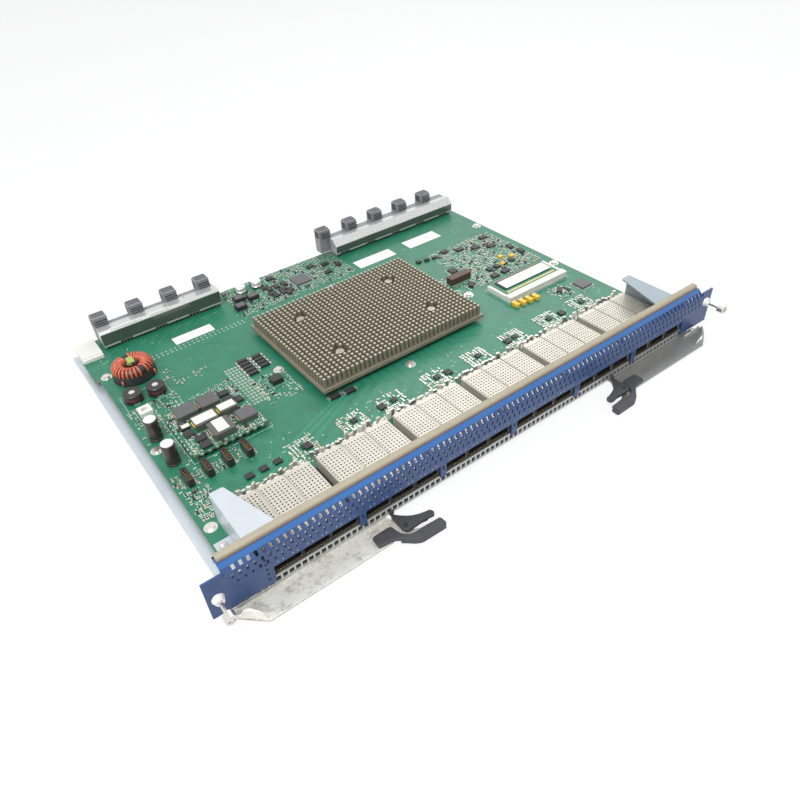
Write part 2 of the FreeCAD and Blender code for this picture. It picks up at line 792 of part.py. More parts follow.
def make_module_socket():
    """Socket bar along the module's contact edge, with a latch arm at each end."""
    w = module_w + 2 * module_arm_w + 0.8
    bar = box(module_x - w / 2, module_front_y - 3, board_top, module_x + w / 2,
              module_front_y - 3 + module_socket_d, board_top + 5.6)
    z = board_top + module_lift
    slot = box(module_x - module_w / 2 - 0.2, module_front_y, z - 0.1,
               module_x + module_w / 2 + 0.2, module_front_y + module_socket_d, z + module_t + 0.1)
    arms = []
    for s in (-1, 1):
        inner = module_x + s * (module_w / 2 + 0.4)
        outer = module_x + s * w / 2
        arms.append(box(min(inner, outer), module_front_y, board_top, max(inner, outer),
                        module_front_y + module_d - 2, board_top + 4.6))
    rests = [box(module_x + s * 24 - 2, module_front_y + 0.3, board_top, module_x + s * 24 + 2,
                 module_front_y + module_d - 6, board_top + module_lift) for s in (-1, 1)]
    return joined([bar.cut(slot)] + arms + rests)


def make_memory_module():
    z = board_top + module_lift
    card = box(module_x - module_w / 2, module_front_y + 0.3, z, module_x + module_w / 2,
               module_front_y + 0.3 + module_d, z + module_t)
    return card


def make_memory_chips():
    z = board_top + module_lift + module_t
    return [block(module_x - module_w / 2 + 10 + i * 15.8, module_front_y + 19, z, 12.0, 14.0, 1.1)
            for i in range(4)]


# ---- levers -----------------------------------------------------------------------------
def near_pin(points):
    """Points given from the trigger's pin, in the card's own X and Y."""
    return [(x - trigger_pin_x, y + trigger_pin_y) for x, y in points]


def lever_tongue():
    """Inner end of the lever sheet, which the grip is moulded round and the trigger lies on."""
    return near_pin([(-3.3, -9.3), (19.2, -11.3), (18.7, -7.4), (3.2, -5.0), (4.0, 4.2), (-3.4, 14.6)])


def make_lever():
    """Left lever: a sheet that lies under the tray's nose and stands out in front of the panel."""
    px, py = -pivot_x, pivot_y
    out = -lever_reach
    heel = near_pin([(-11.8, 0)])[0][0]
    outline = [
        (px - 9.5, py + 4), (px - 9.5, py - 1.5), (px - 6.5, py - 2.4), (px - 11, out + 16.1),
        (px + lever_corner_in, out), (heel, out)] + lever_tongue() + [
        (px + 18, -0.6), (px + 10, py + 6), (px, py + 8),
    ]
    sheet = plate(outline, lever_low, lever_top)
    bore = rod(px, py, lever_low - 1, lever_top + 1, pivot_r + pivot_clear)
    pin_hole = rod(-trigger_pin_x, trigger_pin_y, lever_low - 1, lever_top + 1, trigger_pin_r)
    return sheet.cut([bore, pin_hole]).fuse(make_flap(px, out))


def make_flap(px, out):
    """Finger guard folded up along the sheet's slanted end."""
    a = V(px + lever_corner_in, out, 0)
    b = V(px - 11, out + 16.1, 0)
    length = (b - a).Length
    along = (b - a).normalize()
    inward = V(-along.y, along.x, 0)
    if inward.x < 0:
        inward = inward * -1
    z = lever_top
    rise = lever_flap_h
    profile = [(0, z), (length * 0.1, z + rise * 0.54), (length * 0.3, z + rise * 0.86),
               (length * 0.5, z + rise), (length * 0.6, z + rise * 0.96),
               (length * 0.68, z + rise * 0.47), (length, z + rise * 0.28),
               (length, lever_low), (0, lever_low)]
    corners = [a + along * s + V(0, 0, h) for s, h in profile]
    face = Part.Face(Part.makePolygon(corners + corners[:1]))
    return face.extrude(inward * lever_t)


def make_grip():
    """Black handle moulded round the end of the lever sheet."""
    outline = near_pin([
        (-22.0, 5.4), (-19.8, 6.9), (-10.3, 6.8), (-7.4, 3.8), (-7.3, -0.4), (-5.9, -3.8),
        (-2.9, -6.2), (1.4, -7.0), (11.0, -7.3), (21.8, -7.8), (23.3, -13.4), (20.2, -15.4),
        (-0.4, -14.6), (-3.4, -12.0), (-6.6, -8.0), (-11.4, -4.0), (-22.6, -2.2),
    ])
    z0 = lever_low - grip_under
    z1 = lever_top + grip_over
    solid = soften(plate(outline, z0, z1), 0.8, upright)
    return solid.cut(make_lever_blank())


def make_lever_blank():
    """The space that the sheet takes inside the grip."""
    out = -lever_reach
    heel = near_pin([(-11.8, 0)])[0][0]
    outer = -pivot_x + lever_corner_in
    return plate([(outer, out), (heel, out)] + lever_tongue() + [(outer, -0.6)], lever_low, lever_top)


def make_trigger():
    """Hooked latch that swings on its pin and catches the perforated lip."""
    outline = near_pin([
        (-3.2, 14.0), (-2.9, 0.8), (-2.6, -1.9), (-0.8, -4.2), (2.4, -4.5), (10.7, -4.5),
        (18.7, -4.9), (21.0, -2.9), (21.3, -0.3), (19.5, 1.2), (13.0, 1.9), (8.4, 4.0),
        (3.6, 8.2), (0.7, 14.0),
    ])
    z0 = lever_top + 0.2
    z1 = z0 + trigger_t
    solid = soften(plate(outline, z0, z1), 0.6, upright)
    (hx0, hy0), (hx1, hy1) = near_pin([(-3.2, 12.4), (0.2, 13.9)])
    hook = box(hx0, hy0, z1 - 0.5, hx1, hy1, z1 + 3.2)
    hole = rod(-trigger_pin_x, trigger_pin_y, z0 - 1, z1 + 1, trigger_pin_r + trigger_clear)
    return joined([solid, hook]).cut(hole)


def make_trigger_pin():
    z0 = lever_low
    z1 = lever_top + 0.2 + trigger_t
    shank = rod(-trigger_pin_x, trigger_pin_y, z0, z1 + 0.2, trigger_pin_r)
    cap = rod(-trigger_pin_x, trigger_pin_y, z1 + 0.1, z1 + 0.5, trigger_pin_r + 0.5)
    return shank.fuse(cap)


def make_pivot():
    """Rivet through the tray's nose: the lever turns on it."""
    x, y = -pivot_x, pivot_y
    shank = rod(x, y, lever_low - 0.3, floor_top, pivot_r)
    head = facet_rod(x, y, lever_low - 1.2, lever_low - 0.2, pivot_r + 2.0)
    top = facet_rod(x, y, floor_top, floor_top + 1.0, pivot_r + 1.6)
    collar = facet_rod(x, y, lever_top + 0.1, floor_low, pivot_r + 2.2)
    return joined([shank, head, top, collar])


# ---- captive screws ---------------------------------------------------------------------
def make_thumbscrew(x, z):
    """Captive screw: knurled head, cross recess, shank that runs back through the tab."""
    out = thumb_out
    head = rod_y(x, z, -out, -out + thumb_head_len, thumb_head_r)
    head = bevelled(head, 0.7, lambda e: e.BoundBox.YMax < -out + 0.01)
    tip_y = panel_t + ferrule_tail + thumb_tip_gap
    neck = rod_y(x, z, -out + thumb_head_len - 0.5, tip_y + 0.5, thumb_shank_r)
    tip = rod_y(x, z, tip_y, tip_y + thumb_tip_len, thumb_tip_r)
    w, r = thumb_recess_w, thumb_head_r * 0.62
    cross = block(x, -out, z - r, w, 2.4, 2 * r).fuse(block(x, -out, z - w / 2, 2 * r, 2.4, w))
    return head.fuse([neck, tip]).cut(cross)


def make_ferrule(x, z):
    """Flared bush pressed into the tab that the captive screw slides in."""
    body = Part.makeCone(ferrule_r, ferrule_r - 1.4, ferrule_len, V(x, 0, z), V(0, -1, 0))
    spigot = rod_y(x, z, -0.5, panel_t + ferrule_tail, thumb_shank_r + ferrule_wall)
    return body.fuse(spigot).cut(rod_y(x, z, -ferrule_len - 1, panel_t + 2, thumb_shank_r + thumb_clear))


# ---- write the parts --------------------------------------------------------------------
def main():
    os.makedirs("parts", exist_ok=True)
    save("board", make_board())
    save("board_standoffs", make_standoffs())
    save("board_screws", make_board_screws())
    save("carrier_tray", make_tray())
    save("front_panel", make_panel())
    save("emi_gasket", make_gasket())
    brace = make_gusset()
    save("left_gusset", brace)
    save("right_gusset", mirrored(brace))
    save("gusset_nuts", make_gusset_nuts())
    for i in range(window_count):
        save("port_cage_%d" % (i + 1), make_cage(i))
    save("port_sockets", make_sockets())
    save("heat_sink", make_heat_sink())
    save("switch_chip", make_switch_chip())
    save("heat_sink_posts", make_sink_posts())
    save("heat_sink_screws", make_sink_screws())
    left = (left_conn_x, left_conn_pitch, left_conn_towers, left_cover_x, left_cover_w)
    right = (right_conn_x, right_conn_pitch, right_conn_towers, right_cover_x, right_cover_w)
    save("left_backplane_connector", make_connector_body(left_conn_front_y, left_conn_d, *left))
    save("left_connector_cover", make_connector_cover(left_conn_front_y, *left, left_cover_bevel))
    save("right_backplane_connector", make_connector_body(right_conn_front_y, right_conn_d, *right))
    save("right_connector_cover", make_connector_cover(right_conn_front_y, *right, right_cover_bevel))
    save("power_entry", make_power_entry())
    save("toroid_coil", make_toroid())
    save("toroid_base", make_toroid_base())
    save("toroid_clip", make_toroid_clip())
    save("inductors", make_inductors())
    save("bulk_capacitors", make_caps(cap_spots, cap_r, cap_h))
    save("small_capacitors", make_caps(small_cap_spots, small_cap_r, small_cap_h))
    save("power_terminal", make_terminal())
    save("converter_board", make_brick_board())
    save("converter_pins", make_brick_pins())
    save("converter_cores", make_brick_cores())
    save("converter_chips", make_brick_chips())
    save("pin_headers", make_headers())
    for name in chips:
        save(name, make_chip(name))
    save("small_parts", make_small_parts())
    save("memory_socket", make_module_socket())
    save("memory_module", make_memory_module())
    save("memory_chips", make_memory_chips())
    lever_pieces = {
        "lever": make_lever(), "grip": make_grip(), "trigger": make_trigger(),
        "trigger_pin": make_trigger_pin(), "pivot": make_pivot(),
    }
    for name, shape in lever_pieces.items():
        save("left_" + name, shape)
        save("right_" + name, mirrored(shape))
    save("left_thumbscrew", make_thumbscrew(-thumb_x, left_thumb_z))
    save("right_thumbscrew", make_thumbscrew(thumb_x, right_thumb_z))
    save("ferrules", [make_ferrule(-thumb_x, left_thumb_z), make_ferrule(thumb_x, right_thumb_z)])


main()
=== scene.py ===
# Dresses the switch line card: fine meshes, materials, floor, light and camera round its CAD frame.
import bpy
import random
from math import cos, hypot, pi, radians, sin, sqrt
from mathutils import Matrix, Vector


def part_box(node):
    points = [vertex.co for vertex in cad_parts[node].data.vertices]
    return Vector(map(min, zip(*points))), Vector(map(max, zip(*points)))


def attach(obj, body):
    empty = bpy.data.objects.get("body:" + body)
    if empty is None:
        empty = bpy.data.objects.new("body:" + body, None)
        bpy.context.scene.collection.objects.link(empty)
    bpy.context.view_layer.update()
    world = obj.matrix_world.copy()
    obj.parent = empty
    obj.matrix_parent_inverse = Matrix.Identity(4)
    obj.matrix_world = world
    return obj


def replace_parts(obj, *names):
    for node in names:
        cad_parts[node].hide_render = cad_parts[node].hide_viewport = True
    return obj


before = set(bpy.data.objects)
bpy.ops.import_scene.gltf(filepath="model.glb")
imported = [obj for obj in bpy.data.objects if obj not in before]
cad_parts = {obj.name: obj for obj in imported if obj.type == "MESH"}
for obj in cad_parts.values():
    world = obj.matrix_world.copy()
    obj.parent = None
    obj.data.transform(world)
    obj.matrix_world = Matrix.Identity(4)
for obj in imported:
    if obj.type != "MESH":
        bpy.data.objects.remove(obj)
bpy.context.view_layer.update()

MM = 0.001
PANEL_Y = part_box("front_panel")[0][1] / MM  # front face of the panel
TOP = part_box("board")[1][2] / MM  # component side of the board
CARD = "card"
BLOCK_FACES = [(0, 2, 3, 1), (4, 5, 7, 6), (0, 1, 5, 4), (2, 6, 7, 3), (0, 4, 6, 2), (1, 3, 7, 5)]


# ---- mesh building: millimetres, Y counted back from the panel's front face
def cos_sin(degrees):
    return cos(radians(degrees)), sin(radians(degrees))


def along_axis(a, b, c, axis):
    """The point that is c along an axis, and a, b across it."""
    return {"z": (a, b, c), "x": (c, a, b), "y": (a, c, b)}[axis]


def loop_faces(n):
    """Quads between one loop of n points and the next."""
    return [(i, (i + 1) % n, (i + 1) % n + n, i + n) for i in range(n)]


def drum_faces(n):
    """The quads between two loops of n points, and a lid on each loop."""
    return loop_faces(n) + [tuple(range(n))[::-1], tuple(range(n, 2 * n))]


def in_scene(name, data):
    obj = bpy.data.objects.new(name, data)
    bpy.context.scene.collection.objects.link(obj)
    return obj


class Build:
    """Points and faces of one piece; m is a face's place in the piece's list of materials."""

    def __init__(self):
        self.verts = []
        self.faces = []
        self.slots = []

    def add(self, points, faces, m=0):
        n = len(self.verts)
        self.verts += [tuple(p) for p in points]
        self.faces += [tuple(i + n for i in f) for f in faces]
        self.slots += [m] * len(faces)

    def box(self, x0, y0, z0, x1, y1, z1, m=0):
        self.add([(x, y, z) for z in (z0, z1) for y in (y0, y1) for x in (x0, x1)], BLOCK_FACES, m)

    def block(self, x, y, z, w, d, h, m=0, turn=0.0):
        """A box on its foot's middle, turned in plan."""
        c, s = cos_sin(turn)
        self.add([(x + a * c - b * s, y + a * s + b * c, k) for k in (z, z + h)
                  for b in (-d / 2, d / 2) for a in (-w / 2, w / 2)], BLOCK_FACES, m)

    def taper(self, x, y, z, w, d, h, top, m=0):
        """A block whose top is smaller by `top` on each side."""
        self.add([(x + a * (w / 2 - k), y + b * (d / 2 - k), v) for k, v in ((0, z), (top, z + h))
                  for b in (-1, 1) for a in (-1, 1)], BLOCK_FACES, m)

    def prism(self, outline, low, high, m=0, axis="z"):
        points = [along_axis(a, b, c, axis) for c in (low, high) for a, b in outline]
        self.add(points, drum_faces(len(outline)), m)

    def tube(self, x, y, z0, z1, r, n=16, m=0, axis="z", r1=None):
        """A solid drum, or a cone where the far radius r1 differs."""
        points = []
        for c, q in ((z0, r), (z1, r if r1 is None else r1)):
            for i in range(n):
                a = 2 * pi * i / n
                points.append(along_axis(x + q * cos(a), y + q * sin(a), c, axis))
        self.add(points, drum_faces(n), m)

    def ring(self, x, y, z, r, wire, n=24, k=8, m=0, tilt=None):
        """A closed loop of round wire. tilt turns a point of the flat loop into its place."""
        points = []
        for i in range(n):
            a = 2 * pi * i / n
            for j in range(k):
                b = 2 * pi * j / k
                q = r + wire * cos(b)
                p = Vector((q * cos(a), q * sin(a), wire * sin(b)))
                p = tilt @ p if tilt else p
                points.append((x + p.x, y + p.y, z + p.z))
        faces = [(i * k + j, ((i + 1) % n) * k + j, ((i + 1) % n) * k + (j + 1) % k, i * k + (j + 1) % k)
                 for i in range(n) for j in range(k)]
        self.add(points, faces, m)

    def strip(self, points, width, z, thick=0.04, m=0):
        """A flat line along points in plan, each run a little longer than its length."""
        for (x0, y0), (x1, y1) in zip(points, points[1:]):
            length = hypot(x1 - x0, y1 - y0)
            if length < 0.01:
                continue
            ux, uy = (x1 - x0) / length * width, (y1 - y0) / length * width
            nx, ny = -uy / 2, ux / 2
            ex, ey = ux * 0.2, uy * 0.2
            quad = [(x0 + nx - ex, y0 + ny - ey), (x0 - nx - ex, y0 - ny - ey),
                    (x1 - nx + ex, y1 - ny + ey), (x1 + nx + ex, y1 + ny + ey)]
            self.prism(quad, z, z + thick, m)

    def holed(self, x0, y0, x1, y1, r, at, n=8, m=0):
        """A rectangle with one n-sided hole; at() places a point (a, b) of it in space."""
        cx, cy = (x0 + x1) / 2, (y0 + y1) / 2
        w, h = (x1 - x0) / 2, (y1 - y0) / 2
        outer, inner, fans = [], [], []
        for i in range(n):
            a = 2 * pi * (i + 0.5) / n
            c, s = cos(a), sin(a)
            k = 1 / max(abs(c) / w, abs(s) / h)
            outer.append(at(cx + c * k, cy + s * k))
            inner.append(at(cx + r * c, cy + r * s))
        for q in range(4):
            i = int((0.25 + 0.5 * q) / 2 * n - 0.5) % n  # the outer point just before corner q
            fans.append((i, 2 * n + q, (i + 1) % n))
        ends = [at(x1, y1), at(x0, y1), at(x0, y0), at(x1, y0)]
        self.add(outer + inner + ends, loop_faces(n) + fans, m)

    def slotted(self, x0, y0, x1, y1, w, h, at, m=0):
        """A rectangle with a w by h slot in its middle."""
        cx, cy = (x0 + x1) / 2, (y0 + y1) / 2
        outer = [at(x0, y0), at(x1, y0), at(x1, y1), at(x0, y1)]
        inner = [at(cx + a * w / 2, cy + b * h / 2) for a, b in ((-1, -1), (1, -1), (1, 1), (-1, 1))]
        self.add(outer + inner, loop_faces(4), m)

    def sheet(self, x0, y0, x1, y1, at, m=0):
        self.add([at(x0, y0), at(x1, y0), at(x1, y1), at(x0, y1)], [(0, 1, 2, 3)], m)

    def make(self, name, keys, body=CARD, bevel=0.0, smooth=False, thick=0.0):
        """The piece itself, in the materials that keys names, riding on a body."""
        mesh = bpy.data.meshes.new(name)
        mesh.from_pydata([(x * MM, (y + PANEL_Y) * MM, z * MM) for x, y, z in self.verts], [], self.faces)
        for face, slot in zip(mesh.polygons, self.slots):
            face.material_index = slot
            face.use_smooth = smooth
        obj = in_scene(name, mesh)
        for key in keys.split():
            mesh.materials.append(M[key])
        if thick:
            mod = obj.modifiers.new("thick", "SOLIDIFY")
            mod.thickness = thick * MM
            mod.offset = -1
        if bevel:
            mod = obj.modifiers.new("edge", "BEVEL")
            mod.width = bevel * MM
            mod.segments = 2
            mod.limit_method = "ANGLE"
            mod.angle_limit = radians(40)
        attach(obj, body)
        return obj


# ---- materials
ROUGH_DRIFT = 0.08  # how far a surface's roughness strays either way


def link(tree, a, b):
    tree.links.new(a, b)


def feed(made, inputs):
    """Gives a node its inputs, each a plain value or the socket that it comes from."""
    for key, value in inputs.items():
        if isinstance(value, bpy.types.NodeSocket):
            link(made.id_data, value, made.inputs[key])
        else:
            made.inputs[key].default_value = value
    return made


def node(tree, kind, inputs, **settings):
    made = tree.nodes.new("ShaderNode" + kind)
    for key, value in settings.items():
        setattr(made, key, value)
    return feed(made, inputs)


def object_space(tree):
    return node(tree, "TexCoord", {}).outputs["Object"]


def rgba(color):
    return list(color) + [1]


def mixed(tree, factor, below, above):
    """The colour or socket `above` laid over `below` by a factor, which a colour Mix takes at 7, 6 and 0."""
    return node(tree, "Mix", {0: factor, 6: below, 7: above}, data_type="RGBA").outputs[2]


def base_color(mat):
    """A material's tree, the shader's colour socket, and what feeds it so far."""
    socket = mat.node_tree.nodes["Principled BSDF"].inputs["Base Color"]
    return mat.node_tree, socket, socket.links[0].from_socket


def emboss(tree, height, strength, distance):
    bump = node(tree, "Bump", {"Strength": strength, "Distance": distance, "Height": height})
    feed(tree.nodes["Principled BSDF"], {"Normal": bump.outputs["Normal"]})


def surface(name, color, rough=0.5, metal=0.0, vary=0.1, scale=40.0, grain=900.0, bump=0.1, coat=0.0):
    """Shader with colour drift, uneven gloss and a fine relief, all procedural."""
    mat = bpy.data.materials.new(name)
    mat.use_nodes = True
    tree = mat.node_tree
    place = object_space(tree)
    drift = node(tree, "TexNoise", {"Vector": place, "Scale": scale, "Detail": 5}).outputs["Fac"]
    fine = node(tree, "TexNoise", {"Vector": place, "Scale": grain, "Detail": 3}).outputs["Fac"]
    dim = rgba(max(0, c * (1 - vary)) for c in color)
    lit = rgba(min(1, c * (1 + vary)) for c in color)
    gloss = node(tree, "MapRange", {"Value": fine, "To Min": max(0.03, rough - ROUGH_DRIFT),
                                    "To Max": min(1, rough + ROUGH_DRIFT)})
    feed(tree.nodes["Principled BSDF"], {"Base Color": mixed(tree, drift, dim, lit), "Metallic": metal,
                                         "Roughness": gloss.outputs["Result"], "Coat Weight": coat})
    emboss(tree, fine, bump, 0.0002)
    return mat


def wear(mat, color, amount=0.5, scale=25.0, stretch=(1, 1, 1)):
    """Lays scuffs of another colour over a surface."""
    tree, socket, below = base_color(mat)
    place = node(tree, "Mapping", {"Vector": object_space(tree), "Scale": stretch}).outputs["Vector"]
    noise = node(tree, "TexNoise", {"Vector": place, "Scale": scale, "Detail": 8, "Roughness": 0.7})
    ramp = node(tree, "MapRange", {"Value": noise.outputs["Fac"], "From Min": 0.52, "From Max": 0.72,
                                   "To Max": amount})
    link(tree, mixed(tree, ramp.outputs["Result"], below, rgba(color)), socket)
    return mat


def worn_plate(name, color, metal, vary, patch, amount, rub):
    """A lever's plate: dull patches, and fine rubbing over them."""
    plate = surface(name, color, rough=0.3, metal=metal, vary=vary, scale=60)
    return wear(wear(plate, patch, amount, 150, (0.8, 1.3, 1)), rub, 0.6, 420)


def solder_mask():
    """Board: green mask with blocky pours and fine diagonal runs showing, and bare laminate at its edges."""
    pour, run, laminate = (0.010, 0.105, 0.058), (0.05, 0.26, 0.16), (0.16, 0.17, 0.08)
    mat = surface("board_mask", (0.016, 0.165, 0.094), rough=0.36, vary=0.12, scale=14, bump=0.05, coat=0.08)
    tree, socket, mask = base_color(mat)
    place = object_space(tree)
    cells = node(tree, "TexVoronoi", {"Vector": place, "Scale": 130}, distance="CHEBYCHEV")
    cell = node(tree, "SeparateColor", {"Color": cells.outputs["Color"]})
    pours = node(tree, "MapRange", {"Value": cell.outputs["Red"], "From Min": 0.55, "From Max": 0.6,
                                    "To Max": 0.3})
    poured = mixed(tree, pours.outputs["Result"], mask, rgba(pour))
    lines = node(tree, "TexWave", {"Vector": place, "Scale": 220, "Distortion": 0.3},
                 bands_direction="DIAGONAL")
    soft = node(tree, "MapRange", {"Value": lines.outputs["Fac"], "From Min": 0.6, "To Max": 0.35})
    runs = node(tree, "Math", {0: soft.outputs["Result"], 1: cell.outputs["Green"]}, operation="MULTIPLY")
    green = mixed(tree, runs.outputs["Value"], poured, rgba(run))
    normal = node(tree, "SeparateXYZ", {"Vector": node(tree, "NewGeometry", {}).outputs["Normal"]})
    level = node(tree, "Math", {0: normal.outputs["Z"]}, operation="ABSOLUTE")
    link(tree, mixed(tree, level.outputs["Value"], rgba(laminate), green), socket)
    return mat


def painted_shade_in_front(mat, color, limit):
    """Painted shade: another, darker colour where the sheet stands forward of a limit in Y, such as the lip
    under the panel.
    """
    tree, socket, below = base_color(mat)
    split = node(tree, "SeparateXYZ", {"Vector": object_space(tree)})
    test = node(tree, "Math", {0: split.outputs["Y"], 1: limit * MM}, operation="LESS_THAN")
    link(tree, mixed(tree, test.outputs["Value"], below, rgba(color)), socket)
    return mat


def cloth(name, color):
    """Woven conductive cloth: two crossed waves as relief."""
    mat = surface(name, color, rough=0.6, metal=0.25, vary=0.12, scale=120, bump=0.0)
    tree = mat.node_tree
    place = object_space(tree)
    warp, weft = [node(tree, "TexWave", {"Vector": place, "Scale": 330}, bands_direction=way)
                  for way in ("X", "DIAGONAL")]
    both = node(tree, "Math", {0: warp.outputs["Fac"], 1: weft.outputs["Fac"]}, operation="ADD")
    emboss(tree, both.outputs["Value"], 0.5, 0.0003)
    return mat


M = {
    "board": solder_mask(),
    "trace": surface("trace_run", (0.035, 0.235, 0.145), 0.35, vary=0.15),
    "silk": surface("legend_ink", (0.72, 0.76, 0.70), 0.6),
    "pad": surface("tinned_pad", (0.70, 0.69, 0.64), 0.3, 0.85, vary=0.15),
    "gold": surface("gold_flash", (0.78, 0.58, 0.25), 0.3, 0.9),
    # painted shade: the tray's lip under the panel takes a darker grey
    "zinc": painted_shade_in_front(
        wear(surface("zinc_sheet", (0.59, 0.64, 0.68), 0.38, 0.55, vary=0.12, scale=18, bump=0.06),
             (0.50, 0.56, 0.64), 0.5, 40),
        (0.50, 0.51, 0.50), PANEL_Y + 2.95),
    "brace": wear(surface("zinc_brace", (0.60, 0.64, 0.68), 0.35, 0.5, vary=0.14, scale=30),
                  (0.45, 0.52, 0.62), 0.5, 60),
    # painted shade: the right gusset takes a darker copy of the left one's zinc
    "brace_painted_shade": surface("zinc_brace_painted_shade", (0.31, 0.365, 0.40), metal=0.2, vary=0.12, scale=30),
    "blue": wear(
        surface("panel_paint", (0.026, 0.062, 0.175), 0.42, vary=0.15, scale=30, bump=0.2, coat=0.08),
        (0.08, 0.13, 0.27), 0.35, 80),
    "stripe": surface("stripe_paint", (0.027, 0.120, 0.35), 0.35, scale=30, coat=0.2),
    "dark": surface("inner_dark", (0.012, 0.012, 0.015), 0.8, vary=0.2),
    "gasket": cloth("gasket_cloth", (0.40, 0.36, 0.27)),
    "seal_edge": surface("seal_edge", (0.26, 0.15, 0.075), 0.6, vary=0.2),
    "cage": wear(surface("cage_tin", (0.56, 0.53, 0.46), 0.38, 0.35, vary=0.12, scale=70),
                 (0.42, 0.38, 0.32), 0.4, 120),
    "finger": surface("spring_finger", (0.085, 0.07, 0.045), 0.45, 0.5, vary=0.3),
    "pipe": surface("light_pipe", (0.62, 0.64, 0.66), 0.3),
    "sink": wear(surface("sink_anodised", (0.27, 0.235, 0.175), metal=0.3, vary=0.15, scale=90),
                 (0.40, 0.36, 0.28), 0.3, 150),
    # painted highlight: the pins' ends are a lighter copy of the sink's brown
    "pin_top": surface("pin_top", (0.46, 0.42, 0.33), 0.42, 0.3, vary=0.15, scale=200),
    "sink_screw": surface("sink_screw", (0.38, 0.34, 0.27), 0.35, 0.7, vary=0.2),
    "screw": surface("screw_plate", (0.72, 0.71, 0.68), 0.25, 0.95),
    "chip": surface("chip_mould", (0.022, 0.022, 0.025), 0.45, vary=0.2, bump=0.25, grain=2500),
    "chip_grey": surface("chip_grey", (0.10, 0.10, 0.105), 0.4, vary=0.2),
    "ceramic": surface("ceramic_tan", (0.42, 0.30, 0.17), 0.45, vary=0.2),
    "cream": surface("cream_body", (0.55, 0.52, 0.40), 0.45, vary=0.2),
    "tantalum": surface("tantalum_yellow", (0.80, 0.50, 0.03), 0.4, vary=0.15),
    "via": surface("plated_hole", (0.20, 0.42, 0.28), 0.4, 0.3, vary=0.3),
    "ferrite": surface("ferrite", (0.022, 0.022, 0.023), 0.35, vary=0.25, bump=0.4, grain=1500),
    "core": surface("core_grey", (0.085, 0.092, 0.075), 0.45, vary=0.2, bump=0.3, grain=1500),
    "brown": surface("brown_mould", (0.085, 0.045, 0.028), 0.45, vary=0.2),
    "black": surface("black_mould", (0.02, 0.02, 0.022), vary=0.2, bump=0.2),
    "white": surface("white_mould", (0.72, 0.72, 0.66), 0.4, vary=0.06),
    "label": surface("label_stock", (0.80, 0.80, 0.77), 0.55, vary=0.04),
    "grip": wear(surface("grip_mould", (0.045, 0.045, 0.05), vary=0.15, bump=0.35, grain=1800),
                 (0.10, 0.10, 0.11), 0.3, 90),
    "lever": worn_plate("lever_plate", (0.82, 0.81, 0.73), 0.35, 0.06, (0.20, 0.19, 0.15), 0.75,
                        (0.40, 0.39, 0.33)),
    # painted shade: the right lever's plate is a darker copy of the left one's
    "lever_painted_shade": worn_plate("lever_plate_painted_shade", (0.31, 0.31, 0.295), 0.5, 0.08, (0.20, 0.20, 0.17), 0.6,
                             (0.30, 0.30, 0.27)),
    # painted shadow: a dark strip under the lever sheet's front edge
    "lever_edge": surface("lever_edge_painted_shadow", (0.12, 0.12, 0.10), 0.4, 0.6, vary=0.2),
    "tower": surface("tower_mould", (0.24, 0.24, 0.26), 0.42, vary=0.12, bump=0.15),
    "tower_top": surface("tower_rib", (0.13, 0.13, 0.145), 0.4, vary=0.15),
    "cover": surface("cover_sheet", (0.60, 0.61, 0.60), 0.26, 0.5, scale=25),
    # painted shade and reflection: the covers' front faces are a dark, green-tinged copy of their silver
    # sheet
    "cover_front": surface("cover_front", (0.085, 0.105, 0.088), 0.16, 0.3, vary=0.3, scale=45, coat=0.3),
    "copper": surface("enamel_wire", (0.52, 0.10, 0.045), 0.28, vary=0.25, scale=150, coat=0.4),
    "copper_dark": surface("dark_winding", (0.10, 0.03, 0.02), 0.35, vary=0.3),
    "clip": surface("clip_mould", (0.36, 0.40, 0.10), vary=0.15),
    "sleeve": surface("can_sleeve", (0.030, 0.018, 0.018), 0.3, vary=0.2, coat=0.2),
    "can": surface("can_top", (0.78, 0.78, 0.76), 0.3, 0.35, vary=0.06),
}
CAGES = ["port_cage_%d" % (i + 1) for i in range(6)]
PAINT = {
    "board": "board converter_board memory_module",
    "screw": "board_standoffs heat_sink_posts board_screws gusset_nuts converter_pins left_thumbscrew "
             "right_thumbscrew left_pivot right_pivot",
    "sink_screw": "heat_sink_screws",
    "zinc": "carrier_tray",
    "brace": "left_gusset",
    "brace_painted_shade": "right_gusset",
    "blue": "front_panel",
    "gasket": "emi_gasket",
    "sink": "heat_sink",
    "chip_grey": "phy_chip control_chip",
    "chip": "switch_chip clock_chip small_parts converter_chips memory_chips",
    "tower": "left_backplane_connector right_backplane_connector",
    "cover": "left_connector_cover right_connector_cover",
    "white": "power_entry power_terminal memory_socket",
    "copper": "toroid_coil",
    # painted shade: the trigger pins are black, so they show as dark holes
    "black": "toroid_base port_sockets pin_headers left_trigger_pin right_trigger_pin",
    "clip": "toroid_clip",
    "ferrite": "inductors hot_swap_chip",
    "core": "converter_cores",
    "sleeve": "bulk_capacitors",
    "can": "small_capacitors ferrules",
    "brown": "filter_block",
    "lever": "left_lever right_lever",
    "grip": "left_grip right_grip left_trigger right_trigger",
    "cage": " ".join(CAGES),
}
for finish, names in PAINT.items():
    for name in names.split():
        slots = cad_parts[name].data.materials
        slots.clear()
        slots.append(M[finish])


def corners(node):
    """A node's box in the same millimetres as Build."""
    (x0, y0, z0), (x1, y1, z1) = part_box(node)
    return x0 / MM, y0 / MM - PANEL_Y, z0 / MM, x1 / MM, y1 / MM - PANEL_Y, z1 / MM


# ---- sizes that the pieces below share
HALF_TABS = corners("front_panel")[3]
HALF_PANEL = HALF_TABS - 12.8  # the tab at each end is this wide
WINDOWS = [corners(cage) for cage in CAGES]
BAY_PITCH = 20.33
BAYS = [(c[0] + c[3]) / 2 + k * BAY_PITCH for c in WINDOWS for k in (-1, 0, 1)]

